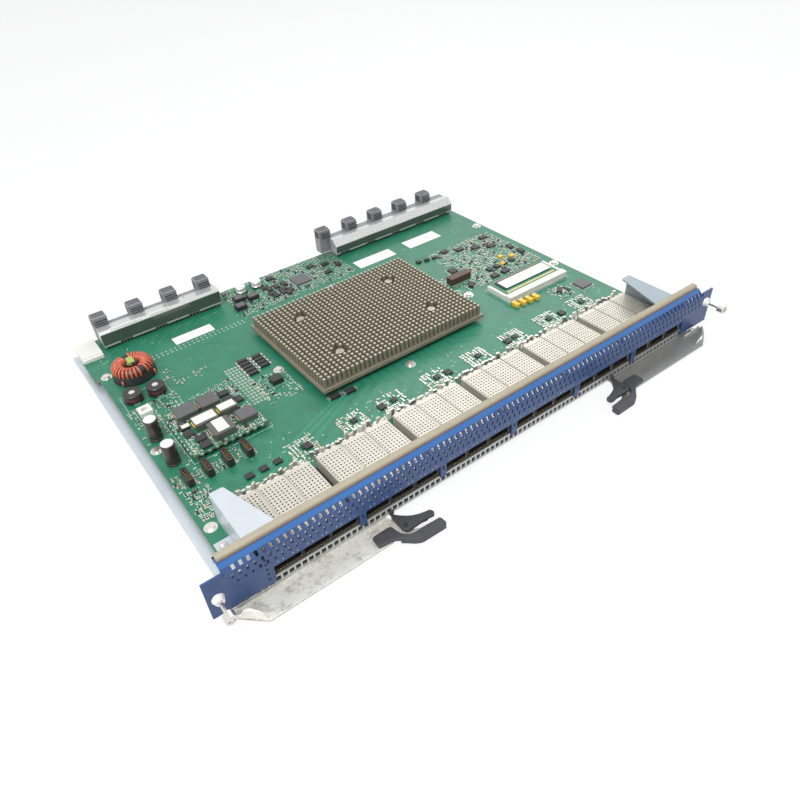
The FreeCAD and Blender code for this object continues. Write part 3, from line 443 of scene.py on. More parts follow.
# the board's screws, in plan
SCREWS = [(-207.0, 266.0), (-207.5, 152.0), (-207.0, 60.0), (207.0, 266.0), (207.0, 152.0), (207.0, 60.0),
          (-91.0, 179.0), (-3.5, 113.4), (104.0, 163.0), (14.0, 262.0)]


def flat(z):
    return lambda a, b: (a, b, z)


# ---- heat sink: the full pin field
def heat_sink():
    x0, y0, z0, x1, y1, z1 = corners("heat_sink")
    base, edge, cap = z0 + 2.8, 3.4, 0.5  # plate's top, margin round the pins, a pin's chamfered end
    columns, rows = 37, 27
    px, py = (x1 - x0 - 2 * edge) / (columns - 1), (y1 - y0 - 2 * edge) / (rows - 1)
    sx0, sy0, _, sx1, sy1, _ = corners("heat_sink_screws")
    head = 3.6  # radius of a screw's head
    heads = [(x, y) for x in (sx0 + head, sx1 - head) for y in (sy0 + head, sy1 - head)]
    b = Build()
    b.box(x0, y0, z0, x1, y1, base)
    for i in range(columns):
        for j in range(rows):
            x, y = x0 + edge + i * px, y0 + edge + j * py
            if all(hypot(x - a, y - c) >= head + 1.9 for a, c in heads):
                b.taper(x, y, base, 2.6, 2.6, z1 - base - cap, 0.15)
                # the end in the lighter pin-top colour, as painted highlight
                b.taper(x, y, z1 - cap, 2.3, 2.3, cap, 0.35, 1)
    obj = b.make("heat_sink_pin_field", "sink pin_top")
    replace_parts(obj, "heat_sink")


# ---- port cages: perforated tops, bays dark with painted shade, rear tabs
def cage_top(bays, x0, y0, x1, y1, z1, gap):
    """The perforated sheet over each bay, with a plain strip before and behind the holes."""
    columns, rows, hole = 7, 17, 0.66
    front, rear = y0 + 11, y1 - 3
    top = Build()
    for x in bays:
        a0, a1 = max(x - BAY_PITCH / 2 + gap, x0), min(x + BAY_PITCH / 2 - gap, x1)
        wide, deep = (a1 - a0) / columns, (rear - front) / rows
        for i in range(columns):
            for j in range(rows):
                u, v = a0 + i * wide, front + j * deep
                top.holed(u, v, u + wide, v + deep, hole, flat(z1))
        top.sheet(a0, y0, a1, front, flat(z1))
        top.sheet(a0, rear, a1, y1, flat(z1))
    return top


def port_cage(index):
    name = "port_cage_%d" % index
    tin, dark, mould, finger, bright = range(5)
    x0, y0, z0, x1, y1, z1 = corners(name)
    rear = y1 - 6.2  # the cage's own rear wall; its feet stand behind
    wall, gap = 0.45, 1.0  # half a partition, half the seam between two tops
    bays = [x for x in BAYS if x0 < x < x1]
    b = Build()
    for x in bays:
        # rear: two folded tabs over the wall, a spring foot behind each, a post between
        for u in (x - 4.6, x + 4.6):
            b.box(u - 2.4, rear, z0 + 2.0, u + 2.4, rear + 0.5, z1 - 0.5, tin)
            b.box(u - 2.0, rear + 0.5, z0, u + 2.0, y1 - 1.2, z0 + 0.5, tin)
            b.box(u - 1.2, y1 - 3.0, z0 + 0.5, u + 1.2, y1 - 1.4, z0 + 2.2, mould)
        b.box(x - 0.9, rear, z0, x + 0.9, y1 - 0.6, z0 + 3.4, mould)
        # painted shade: dark sheets inside the bay, and the two rows of spring fingers at its mouth
        w = BAY_PITCH / 2 - 0.8
        b.box(x - w, y0 + 2, z1 - 0.9, x + w, rear - 0.6, z1 - 0.75, dark)
        b.box(x - w, y0 + 1.5, z0 + 0.62, x + w, rear - 0.6, z0 + 0.7, dark)
        for u in (x - w, x + w):
            b.box(u - 0.05, y0 + 1.5, z0 + 0.7, u + 0.05, rear - 0.6, z1 - 0.9, dark)
        for i in range(-5, 6):
            u = x + i * 1.62
            b.box(u - 0.5, y0 - 0.6, z1 - 1.9, u + 0.5, y0 + 3, z1 - 1.5, finger)
            b.box(u - 0.5, y0 - 0.6, z0 + 1.1, u + 0.5, y0 + 3, z0 + 1.5, finger)
        # bright leaves that slope down behind the rear wall
        leaf = [(rear + 0.2, z1 - 0.3), (rear + 1.0, z1 + 0.1),
                (rear + 3.6, z0 + 3.0), (rear + 3.0, z0 + 2.4)]
        for u in (x - 5.6, x, x + 5.6):
            b.prism(leaf, u - 1.5, u + 1.5, bright, "x")
    for i in range(4):
        x = x0 + (x1 - x0) * i / 3
        left, right = max(x0, x - gap), min(x1, x + gap)
        b.box(left, y0 - 0.3, z0 + 0.3, right, y0 - 0.02, z1 - 0.2, dark)
        b.box(left, y0, z1 - 1.2, right, rear, z1 - 0.7, tin)
        b.box(max(x0, x - wall), y0, z0, min(x1, x + wall), rear, z1 - 0.5, tin)
    b.box(x0, rear - wall, z0, x1, rear, z1 - 0.4, tin)
    b.box(x0 + 0.4, y0 + 1, z0, x1 - 0.4, rear - 1, z0 + 0.6, tin)
    cage_top(bays, x0, y0, x1, rear, z1, gap).make("cage_top_%d" % index, "cage", thick=0.4)
    obj = b.make("cage_shell_%d" % index, "cage dark chip finger can")
    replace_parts(obj, name)


# ---- front panel
def front_panel():
    """Folded sheet: slotted slope, two staggered rows of slots, light openings, windows, tabs."""
    _, _, z0, _, y1, z1 = corners("front_panel")
    half = HALF_PANEL
    # heights of the windows' foot and head, the first row of slots and the fold; the slope's run back
    foot, sill, vents, knee, fold = 10.3, 21.3, 25.9, 36.5, 5.5
    middle = (vents + knee) / 2
    slope, band = fold * sqrt(2), 4.6  # along the slope: all of it, and its slotted part
    pitch, post = 4.8, 5.2  # from slot to slot; the slotted head of a window's post
    count = int(2 * half / pitch) - 1
    start = -count * pitch / 2

    def face(a, b):
        return a, 0, b

    def ramp(a, b):
        return a, b / sqrt(2), knee + b / sqrt(2)

    b = Build()
    edges = [-half] + [v for c in WINDOWS for v in (c[0] - 0.2, c[3] + 0.2)] + [half]
    for a, c in zip(edges[::2], edges[1::2]):
        if c - a > 10:
            b.sheet(a, z0, c, sill, face)
        else:
            b.sheet(a, foot, c, sill - post, face)
            b.slotted(a, sill - post, c, sill, 1.3, 3.8, face)
    # light openings over each bay
    marks = sorted(x + k * 3.3 for x in BAYS for k in (-2, -1, 1, 2))
    last = -half
    for x in marks:
        b.sheet(last, sill, x - 1, vents, face)
        b.holed(x - 1, sill, x + 1, vents, 0.6, face)
        last = x + 1
    b.sheet(last, sill, half, vents, face)
    for low, high, shift, w, h, at in (
            (vents, middle, 0.5, 1.5, 3.2, face), (middle, knee, 0.0, 1.6, 3.7, face),
            (0, band, 0.5, 2.2, 3.9, ramp)):
        for i in range(count):
            a = start + (i + shift) * pitch
            b.slotted(a, low, a + pitch, high, w, h, at)
        b.sheet(-half, low, start + shift * pitch, high, at)
        b.sheet(start + (count + shift) * pitch, low, half, high, at)
    b.sheet(-half, band, half, slope, ramp, 1)
    b.sheet(-half, fold, half, y1, flat(z1), 1)
    b.sheet(-half, 0, half, 4.0, lambda a, c: (-a, y1, z1 - 4 + c), 1)
    # tabs at the ends, each with the bush's hole
    bush, bush_r, tall = corners("ferrules"), 4.2, 31.7
    for side, z in ((-1, bush[2] + bush_r), (1, bush[5] - bush_r)):
        a, c = sorted((side * half, side * HALF_TABS))
        mid = side * (bush[3] - bush_r)
        b.sheet(a, z0, c, z - 4, face)
        b.sheet(a, z + 4, c, z0 + tall, face)
        b.holed(mid - 4, z - 4, mid + 4, z + 4, 2.7, face, 16)
        b.sheet(a, z - 4, mid - 4, z + 4, face)
        b.sheet(mid + 4, z - 4, c, z + 4, face)
    obj = b.make("panel_sheet", "blue stripe", thick=1.5)
    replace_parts(obj, "front_panel")
    # the light pipes, and dark dots beside the first window
    d = Build()
    for x in marks:
        d.tube(x, (sill + vents) / 2, 0.2, 3, 0.58, 8, 0, "y")
    for k in range(5):
        d.tube(edges[1] - 4.0, 13.5 + 4.4 * k, -0.02, 0.3, 0.95, 12, 1, "y")
    d.make("light_pipes", "pipe dark")
    x0, y0, _, x1, _, _ = corners("emi_gasket")
    line = Build()
    line.box(x0, y0 - 0.5, z1, x1, y0 + 0.2, z1 + 0.7)
    line.make("gasket_edge", "seal_edge")
    # painted shade: a dark sheet behind the lip, so its holes show dark
    lip = corners("carrier_tray")[1]
    strip = Build()
    strip.box(-half + 12, lip + 1.3, 5.1, half - 12, lip + 1.5, 9.7)
    strip.make("lip_painted_shade_strip", "dark")


# ---- board: printed runs, pads, legend
def outline(b, x0, y0, x1, y1, z):
    b.strip([(x0, y0), (x1, y0), (x1, y1), (x0, y1), (x0, y0)], 0.25, z, 0.03)


def board_print():
    rng = random.Random(11)
    z, ink = TOP + 0.01, 0.02
    sx0, sy0, _, sx1, sy1, _ = corners("heat_sink")
    cage_rear = WINDOWS[0][4]
    b = Build()
    # bundles from the heat sink's edge out to each bay
    for n, x in enumerate(BAYS):
        for k in range(7):
            u = sx0 + 12 + (sx1 - sx0 - 24) * (n + k / 9) / len(BAYS)
            v = x - 5 + k * 1.5
            drop = abs(v - u)
            mid = min(sy0 - 2, cage_rear + 5 + drop * 0.55)
            turn = max(cage_rear + 4, mid - drop)
            b.strip([(u, sy0 + 4), (u, mid + (sy0 - mid) * 0.2), (v, turn), (v, cage_rear - 1)], 0.32, z, ink)
    # runs to the two connectors
    for n in range(26):
        for u, v, bend, end in ((sx0 + 6 + n * 2.4, -186 + n * 3.6, 24, 304),
                                (sx1 - 6 - n * 2.4, 204 - n * 3.8, 26, 309)):
            b.strip([(u, sy1 - 3), (u, sy1 + 4 + n * 0.5), (v, sy1 + bend + n * 0.9), (v, end)], 0.3, z, ink)
    # runs out of the heat sink's two sides
    for n in range(34):
        y = 128 + n * 3.1
        x = -106 - rng.random() * 30
        far = y + (sx0 - 6 - x) * 0.35
        b.strip([(sx0 + 2, y), (sx0 - 6, y), (x, far), (x - 12, far)], 0.3, z, ink)
        x = 98 + rng.random() * 26
        b.strip([(sx1 - 2, y), (sx1 + 5, y), (x, y - 4), (x + 9, y - 4)], 0.3, z, ink)
    b.make("printed_runs", "trace")
    # pads: the row in front of the left connector, pairs under the right one, plated holes
    p = Build()
    for n in range(22):
        for k in (0, 1):
            p.block(-166 + n * 4.1, 264 + k * 4.2, TOP, 1.5, 1.2, 0.05, 0)
    for n in range(28):
        p.block(-180 + n * 3.6, 292 + (n % 3) * 3, TOP, 0.9, 0.9, 0.05, 1)
        p.block(62 + n * 5.0, 302 - (n % 2) * 3, TOP, 0.9, 0.9, 0.05, 1)
    for _ in range(520):
        x, y = rng.uniform(-206, 206), rng.uniform(72, 300)
        p.tube(x, y, TOP, TOP + 0.04, 0.35, 6, 1)
    for x, y in SCREWS:
        p.tube(x, y, TOP, TOP + 0.05, 4.6, 24, 0)
    p.make("tinned_pads", "pad via")
    s = Build()
    for name in ("phy_chip", "control_chip", "clock_chip", "filter_block", "hot_swap_chip", "memory_socket",
                 "power_terminal", "inductors", "converter_board"):
        x0, y0, _, x1, y1, _ = corners(name)
        outline(s, x0 - 1.6, y0 - 1.6, x1 + 1.6, y1 + 1.6, z)
    for _ in range(150):
        x, y = rng.uniform(-205, 200), rng.choice((rng.uniform(74, 106), rng.uniform(268, 303)))
        s.block(x, y, z, rng.uniform(0.8, 3.2), 0.35, 0.03, 0, rng.choice((0, 90)))
    for x in BAYS:
        s.strip([(x - 8, cage_rear + 2.2), (x + 8, cage_rear + 2.2)], 0.3, z, 0.03)
    s.make("legend_print", "silk")
    q = Build()
    for x, y, w, d in ((-124, 277.5, 37, 12), (80, 282, 45, 15.5), (142, 282.5, 42, 16.5)):
        q.block(x, y, z, w, d, 0.12)
    q.make("blank_labels", "label")


# ---- board: small surface parts
PARTS = "chip pad ceramic silk chip_grey white tantalum cream gold"
CHIP, PAD, TAN, INK, GREY, WHITE, YELLOW, CREAM, GOLD = range(9)


def resistor(b, x, y, z, turn, long, wide, body):
    c, s = cos_sin(turn)
    b.block(x, y, z, long * 0.62, wide, 0.6, body, turn)
    for k in (-1, 1):
        d = k * long * 0.4
        b.block(x + d * c, y + d * s, z, long * 0.3, wide * 1.06, 0.64, PAD, turn)


def small_ic(b, x, y, z, turn, w, d, h, leads):
    c, s = cos_sin(turn)
    b.block(x, y, z + 0.1, w, d, h, CHIP, turn)
    for i in range(leads):
        a = (i - (leads - 1) / 2) * w / leads
        for k in (-1, 1):
            q = k * (d / 2 + 0.5)
            b.block(x + a * c - q * s, y + a * s + q * c, z, w / leads * 0.45, 1.3, 0.35, PAD, turn)


def quad_leads(b, node, count):
    x0, y0, _, x1, y1, _ = corners(node)
    for i in range(count):
        u = x0 + (x1 - x0) * (i + 0.5) / count
        v = y0 + (y1 - y0) * (i + 0.5) / count
        w = (x1 - x0) / count * 0.45
        for y in (y0 - 0.7, y1 + 0.7):
            b.block(u, y, TOP, w, 1.6, 0.3, PAD)
        for x in (x0 - 0.7, x1 + 0.7):
            b.block(x, v, TOP, 1.6, w, 0.3, PAD)


def field(b, rng, x0, y0, x1, y1, fill, z=None, keep=(), cell=(3.4, 2.6), tone="mixed"):
    """Parts on a loose grid inside a rectangle, clear of the boxes in keep."""
    z = TOP if z is None else z
    bare = 0.9 if tone == "pads" else 0.78  # the roll up to which a place holds only its two pads
    wide, deep = cell
    for i in range(int((x1 - x0) / wide)):
        for j in range(int((y1 - y0) / deep)):
            x = x0 + (i + 0.5 + rng.uniform(-0.12, 0.12)) * wide
            y = y0 + (j + 0.5 + rng.uniform(-0.12, 0.12)) * deep
            if any(a - 2 < x < c + 2 and e - 2 < y < f + 2 for a, e, c, f in keep) or rng.random() > fill:
                continue
            kind = rng.random()
            turn = rng.choice((0, 90))
            if tone == "pale":
                resistor(b, x, y, z, turn, 2.2, 1.15, rng.choice((CREAM, WHITE, PAD, TAN)))
            elif kind < 0.34:
                resistor(b, x, y, z, turn, 2.2, 1.3, rng.choice((CHIP, TAN, GREY)))
            elif kind < 0.62:
                resistor(b, x, y, z, turn, 1.7, 0.95, rng.choice((TAN, CREAM, CREAM)))
            elif kind < bare:
                for k in (-1, 1):
                    b.block(x + k * 0.7, y, z, 0.8, 1.1, 0.06, rng.choice((PAD, INK)))
            elif kind < 0.93:
                b.block(x, y, z, 2.4, 0.3, 0.03, INK, turn)
            else:
                small_ic(b, x, y, z, turn, 2.9, 1.6, 1.0, 3)


def box_of(*names):
    return [(x0, y0, x1, y1) for x0, y0, _, x1, y1, _ in map(corners, names)]


def parts_left(rng, spots):
    left = box_of("bulk_capacitors", "power_terminal", "converter_board", "inductors", "toroid_base")
    left += [(h - 3, 100, h + 3, 116) for h in (-201.5, -186.5, -171.3, -155.8)]
    b = Build()
    field(b, rng, -210, 64, -191, 100, 0.85, keep=spots, cell=(3.0, 2.3))
    for x0, y0, x1, y1, fill, tone in (
            (-212, 100, -150, 122, 0.55, "pads"), (-211, 122, -190, 214, 0.55, "pads"),
            (-196, 178, -166, 214, 0.6, "mixed"), (-186, 228, -160, 246, 0.4, "mixed"),
            (-166, 182, -128, 196, 0.7, "mixed"), (-166, 214, -134, 226, 0.3, "mixed")):
        field(b, rng, x0, y0, x1, y1, fill, keep=spots + left, tone=tone)
    # comb of pads between the converter and the row of drivers
    for i in range(5):
        for j in range(14):
            x, y = -127 + i * 3.0 + (j % 2) * 0.3, 152 + j * 4.1
            b.block(x, y, TOP, 2.0, 0.9, 0.3, CREAM if (i + j) % 3 else PAD)
            b.block(x, y + 1.8, TOP, 2.0, 0.5, 0.05, INK)
    bank = [(-114, 184, -92, 212), (-105, 162, -94, 172)]
    field(b, rng, -118, 142, -86, 186, 0.5, keep=spots + bank, tone="pads")
    b.make("small_parts_left", PARTS)


def parts_rear(rng, spots):
    b = Build()
    rear = box_of("phy_chip", "small_capacitors", "small_parts")[:2] + spots
    field(b, rng, -76, 272, 52, 327, 0.8, keep=rear, cell=(3.2, 2.5))
    for x, y in ((-66, 302), (-54, 297), (-71, 288)):
        b.block(x, y, TOP, 10, 9, 4.2, CHIP)
        b.block(x, y, TOP + 4.2, 8, 7, 0.3, GREY)
    for x, y, t in ((-36, 291, 0), (-24, 291, 0), (-36, 305, 0), (-24, 318, 0), (20, 312, 20), (34, 306, 0),
                    (28, 290, 0), (-22, 282, 90), (44, 297, 90)):
        small_ic(b, x, y, TOP, t, 7, 5, 1.8, 6)
    b.make("small_parts_rear", PARTS)


def parts_right(rng, spots):
    b = Build()
    right = box_of("memory_socket", "filter_block", "clock_chip", "control_chip") + spots
    field(b, rng, 122, 166, 208, 250, 0.8, keep=right, cell=(3.2, 2.5))
    field(b, rng, 96, 162, 122, 204, 0.5, keep=right)
    field(b, rng, 160, 100, 186, 122, 0.6, keep=right)
    for x, y, t in ((141, 243, 0), (156, 236, 0), (171, 228, 0), (186, 220, 0), (199, 206, 90),
                    (201, 192, 90), (146, 172, 0), (160, 172, 0), (118, 174, 30), (172, 112, 40),
                    (192, 240, 0)):
        small_ic(b, x, y, TOP, t, 8, 5.5, 1.8, 6)
    for n in range(4):
        x, y = 123 + 7.6 * n, 120 - 0.9 * n
        b.block(x, y, TOP + 0.3, 4.3, 7.3, 3.1, YELLOW)
        b.block(x, y + 3.2, TOP + 0.3, 4.4, 1.0, 3.15, GOLD)
        b.block(x, y, TOP, 3.0, 8.4, 0.6, PAD)
    for x, y in ((176, 196), (186, 190), (168, 184)):
        b.block(x, y, TOP, 4.2, 4.2, 2.2, YELLOW)
    b.make("small_parts_right", PARTS)


def parts_front(rng, spots):
    """The fringe behind the cages, with regulators along it."""
    b = Build()
    y1 = WINDOWS[0][4]
    field(b, rng, -190, y1 + 0.4, 200, y1 + 7.5, 0.97, cell=(2.2, 1.9), keep=spots, tone="pads")
    for x in (-121, -78, -41, 2, 46, 88, 130, 172):
        keep = [(x - 3, y1 + 15, x + 1, y1 + 19)]
        field(b, rng, x - 14, y1 + 6, x + 10, y1 + 27, 0.8, keep=keep, cell=(2.9, 2.3), tone="pale")
        small_ic(b, x - 1, y1 + 17, TOP, 0, 4.6, 4.6, 1.4, 4)
    # tinned spring feet that stand up along the cages' rear edge
    for x in BAYS:
        for k in (-8.2, -4.6, 0.4, 4.2, 8.0):
            turn = rng.uniform(-40, 40)
            b.block(x + k + rng.uniform(-0.7, 0.7), y1 + rng.uniform(0.6, 2.2), TOP, 3.1, 1.6,
                    rng.uniform(5.0, 9.2), rng.choice((PAD, PAD, CREAM, WHITE)), turn)
    # painted shade: a black sheet on the board in the narrow gap between two cages
    for this, after in zip(WINDOWS, WINDOWS[1:]):
        b.box(this[3], this[1], TOP, after[0], y1 - 6, TOP + 0.3, CHIP)
    for x, y in ((-75, 118), (-62, 116)):
        b.block(x, y, TOP, 9, 5, 2.6, CHIP)
        for u in (x - 5, x + 5):
            b.block(u, y, TOP, 1.6, 4.2, 2.0, PAD)
    b.make("small_parts_front", PARTS)


def package_leads():
    b = Build()
    quad_leads(b, "phy_chip", 24)
    quad_leads(b, "control_chip", 16)
    quad_leads(b, "clock_chip", 8)
    for x, y, count in ((-109.5, 209.0, 5), (-97.0, 207.5, 4)):
        for n in range(count):
            for u in (x - 5.2, x + 5.0):
                b.block(u, y - 5.2 * n, TOP, 1.4, 3.2, 1.2, PAD)
    b.make("package_leads", PARTS)


def surface_parts():
    rng = random.Random(29)
    spots = [(x - 4, y - 4, x + 4, y + 4) for x, y in SCREWS]
    for place in (parts_left, parts_rear, parts_right, parts_front):
        place(rng, spots)
    package_leads()


# ---- converter
def converter():
    rng = random.Random(7)
    x0, y0, z0, x1, y1, z1 = corners("converter_board")
    cx, cy = (x0 + x1) / 2, (y0 + y1) / 2
    cores = [(-15, 19, 17, 14, 4.6), (3, 19, 15, 14, 4.6), (-8, 0, 18, 13, 5.4), (11, 2, 14, 11, 5.4),
             (-2, -16, 17, 17, 5.0), (19, -14, 14, 13, 4.4)]
    chips = [(17, 22), (17, 13), (-23, 4), (-23, -5), (-18, -15), (-18, -24), (24.5, 4)]
    taken = [(a, c, w / 2, d / 2) for a, c, w, d, _ in cores] + [(a, c, 4, 3) for a, c in chips]
    slack = 1.2  # field leaves 2 round a box, and 0.8 is enough here
    keep = [(cx + a - w + slack, cy + c - d + slack, cx + a + w - slack, cy + c + d - slack)
            for a, c, w, d in taken]
    b = Build()
    field(b, rng, x0 + 1, y0 + 1, x1 - 1, y1 - 1, 0.95, z=z1, keep=keep, cell=(2.6, 2.0))
    # stacked windings show as copper and tape between the cores' halves
    for a, c, w, d, h in cores:
        b.block(cx + a, cy + c, z1 + h * 0.4, w + 1.6, d * 0.5, h * 0.25, YELLOW if h > 5 else TAN)
        b.taper(cx + a, cy + c, z1 + h, w - 0.6, d - 0.6, 0.35, 0.3, GREY)
    for a, c, w, d, h in ((-8, 0, 17, 9, 5.4), (11, 2, 13, 7.5, 5.4), (-2, -15, 9, 14.5, 5.0)):
        b.block(cx + a, cy + c, z1 + h + 0.35, w, d, 0.12, WHITE)
    b.block(cx - 22, cy + 4, z1 + 2.2, 6, 4, 0.15, WHITE)
    for k in range(9):
        b.block(x0 + 6 + k * 6, y0 - 0.3, z0 - 0.2, 2.4, 1.0, 1.8, PAD)
        b.block(x0 - 0.3, y0 + 5 + k * 5.4, z0 - 0.2, 1.0, 2.4, 1.8, PAD)
    b.make("converter_detail", PARTS)


# ---- wound and round parts
def toroid():
    x0, y0, z0, x1, y1, z1 = corners("toroid_coil")
    cx, cy, cz = (x0 + x1) / 2, (y0 + y1) / 2, (z0 + z1) / 2
    tube = (z1 - z0) / 2
    r = (x1 - x0) / 2 - tube
    core = Build()
    core.ring(cx, cy, cz, r, tube - 1.3, 48, 12)
    core.make("toroid_core", "ferrite", smooth=True)
    coil, turns = Build(), 28
    upright = Matrix.Rotation(radians(90), 3, "X") @ Matrix.Rotation(0.12, 3, "Y")
    for i in range(turns):
        if i in (7, 8, 22):  # gaps in the winding
            continue
        a = 2 * pi * (i + 0.3) / turns
        lean = Matrix.Rotation(a, 3, "Z") @ upright
        coil.ring(cx + r * cos(a), cy + r * sin(a), cz, tube - 1.05, 1.0, 20, tilt=lean)
    for s in (-1, 1):
        coil.tube(cx + s * (r + 2), cy - r - 1, TOP, z0 + 3, 0.8, 8)
    obj = coil.make("toroid_turns", "copper", smooth=True)
    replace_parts(obj, "toroid_coil")
    cup = Build()
    cup.tube(cx, cy, TOP, TOP + 2.2, r + tube + 0.6, 40)
    cup.tube(cx, cy, TOP + 2.2, z0 + 4.6, r + tube + 0.6, 40, r1=r + tube - 0.4)
    cup.make("toroid_cup", "black")
    top = corners("toroid_clip")[5]
    clip = Build()
    clip.block(cx, cy, cz, 3.6, 8.0, top - cz - 1.2, 0, -35)
    clip.taper(cx, cy, top - 1.2, 6.0, 9.0, 1.2, 0.5, 0)
    obj = clip.make("toroid_post", "clip", bevel=0.3)
    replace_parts(obj, "toroid_clip")


def can(b, x, y, z0, z1, r):
    """A crimped can: its sleeve in slot 0, its flat top in slot 1."""
    crimp, brim = r - 0.5, r - 0.6
    for low, high, below, above in ((z0, z0 + 1.2, r, r), (z0 + 1.2, z0 + 1.8, r, crimp),
                                    (z0 + 1.8, z0 + 2.4, crimp, r), (z0 + 2.4, z1 - 0.9, r, r),
                                    (z1 - 0.9, z1 - 0.2, r, brim)):
        b.tube(x, y, low, high, below, 32, r1=above)
    b.tube(x, y, z1 - 0.25, z1 - 0.1, brim, 32, 1)


def round_parts():
    b = Build()
    x0, y0, z0, x1, y1, z1 = corners("bulk_capacitors")
    r = (x1 - x0) / 2
    for y in (y0 + r, y1 - r):
        can(b, x0 + r, y, z0, z1, r)
    obj = b.make("bulk_cans", "sleeve can")
    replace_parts(obj, "bulk_capacitors")
    b = Build()
    x0, y0, z0, x1, y1, z1 = corners("small_capacitors")
    r = (y1 - y0) / 2
    for x in (x0 + r, x1 - r):
        can(b, x, y0 + r, z0, z1, r)
        b.block(x, y0 + r, z0, 2 * r + 0.6, 2 * r + 0.6, 1.0, 2)
    obj = b.make("small_cans", "can can black")
    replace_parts(obj, "small_capacitors")
    b = Build()
    x0, y0, z0, x1, y1, z1 = corners("inductors")
    r = 7.6  # radius of a drum
    for x, y in ((x0 + r, y1 - r), (x1 - r, y0 + r)):
        b.tube(x, y, z0, z0 + 1.6, r, 32)
        for k in range(6):
            b.ring(x, y, z0 + 2.1 + k * 0.72, r - 1.7, 0.4, 28, 6, 1)
        b.tube(x, y, z1 - 2.2, z1 - 0.5, r, 32)
        b.tube(x, y, z1 - 0.5, z1, r, 32, r1=r - 0.7)
        # painted glint: a thin bright disc in the middle of each drum's top
        b.tube(x, y, z1, z1 + 0.05, 2.4, 20, 2)
        b.block(x, y - r + 0.6, z0, 5, 1.8, 1.2, 2)
    obj = b.make("drum_inductors", "ferrite copper_dark pad")
    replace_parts(obj, "inductors")


def headers():
    b = Build()
    x0, y0, z0, x1, y1, z1 = corners("pin_headers")
    for x in (x0 + 2.5, x0 + 17.5, x0 + 32.7, x1 - 2.5):
        for k in range(6):
            y = y0 + 2.2 + k * (y1 - y0 - 4.4) / 5
            for s in (-0.7, 0.7):
                b.block(x + s, y, z0 + 3, 0.5, 0.5, z1 - z0 - 3.6, 0)
                b.block(x + s * 6.2, y, z0, 1.6, 0.7, 0.25, 1)
        b.block(x - 2.55, (y0 + y1) / 2, z0 + 1, 0.1, 4, 4.5, 2)
    b.make("header_pins", "gold pad brown")


# ---- backplane connectors
def comb(b, count, first, last, wide, y0, y1, z0, z1, m):
    """A row of equal blocks across X."""
    for i in range(count):
        x = first + i * (last - first) / count
        b.box(x, y0, z0, x + wide, y1, z1, m)


def connectors():
    b = Build()
    for side, first, pitch, count in (("left", -195.0, 32.2, 4), ("right", 41.6, 33.2, 5)):
        _, _, _, _, y1, z1 = corners(side + "_backplane_connector")
        for i in range(count):
            x = first + i * pitch
            for k in range(4):
                y = y1 - 9 + k * 2.1
                b.box(x + 0.9, y, z1 - 0.3, x + 12.1, y + 1.1, z1 + 0.35, 0)
            b.box(x - 0.06, y1 - 8.5, z1 - 9, x, y1 - 1.5, z1 - 2, 1)
            for k in range(3):
                b.box(x + 1, y1 - 13.08, z1 - 3.4 - k * 2.2, x + 12, y1 - 12.98, z1 - 2.4 - k * 2.2, 1)
    lx0, ly0, _, _, _, lz1 = corners("left_connector_cover")
    for x, count in ((lx0 + 10, 15), (lx0 + 46, 10)):
        comb(b, count, x, x + count * 1.9, 0.9, ly0 + 0.2, ly0 + 2.4, lz1 - 2.2, lz1 + 0.25, 2)
    for side in ("left", "right"):
        x0, y0, z0, x1, y1, z1 = corners(side + "_connector_cover")
        for i in range(int((x1 - x0 - 6) / 3)):
            x = x0 + 3 + i * 3
            b.box(x, y0 + 2.4, TOP, x + 1.5, y0 + 3.4, z0 + 1.0, 1)
        for k in (0.36, 0.72):
            x = x0 + (x1 - x0) * k
            b.box(x, y0 + 7, z1 - 0.02, x + 0.35, y1, z1 + 0.03, 1)
        # painted shade and reflection: a dark green plate over each cover's front face, below a silver band
        drop = 2.6 if side == "left" else 6.4
        b.box(x0 + 0.3, y0 - 0.12, z0 + 1.8, x1 - 0.3, y0 - 0.02, z1 - drop, 3)
    b.make("connector_detail", "tower_top chip label cover_front")


# ---- memory module
def memory():
    b = Build()
    x0, y0, _, x1, y1, z1 = corners("memory_module")
    top = corners("memory_chips")[5]
    b.box(x0 + 6, y1 - 18.5, top, x1 - 3, y1 - 5.5, top + 0.12, 0)
    comb(b, 50, x0 + 3, x1 - 3, 0.7, y0 + 6.2, y0 + 8.4, z1, z1 + 0.05, 1)
    comb(b, 26, x0 + 4, x1 - 4, 1.0, y1 - 3.4, y1 - 1.6, z1, z1 + 0.5, 2)
    x0, y0, _, x1, _, _ = corners("memory_socket")
    comb(b, 60, x0 + 5, x1 - 5, 0.6, y0 - 1.0, y0 + 0.2, TOP, TOP + 0.5, 3)
    b.make("memory_detail", "label gold ceramic pad")


# ---- levers: sheet with its end flap, grip and hooked trigger
PIN = (-107.2, -15.2)  # left trigger's pin, in plan
PIVOT = (-214.0, 8.0)  # left lever's pivot


def from_pin(points):
    return [(x + PIN[0], y + PIN[1]) for x, y in points]


def mirrored(points, side):
    """Plan points of the left lever for side 1, and of the right one, wound the same way, for -1."""
    return points if side > 0 else [(-x, y) for x, y in points][::-1]


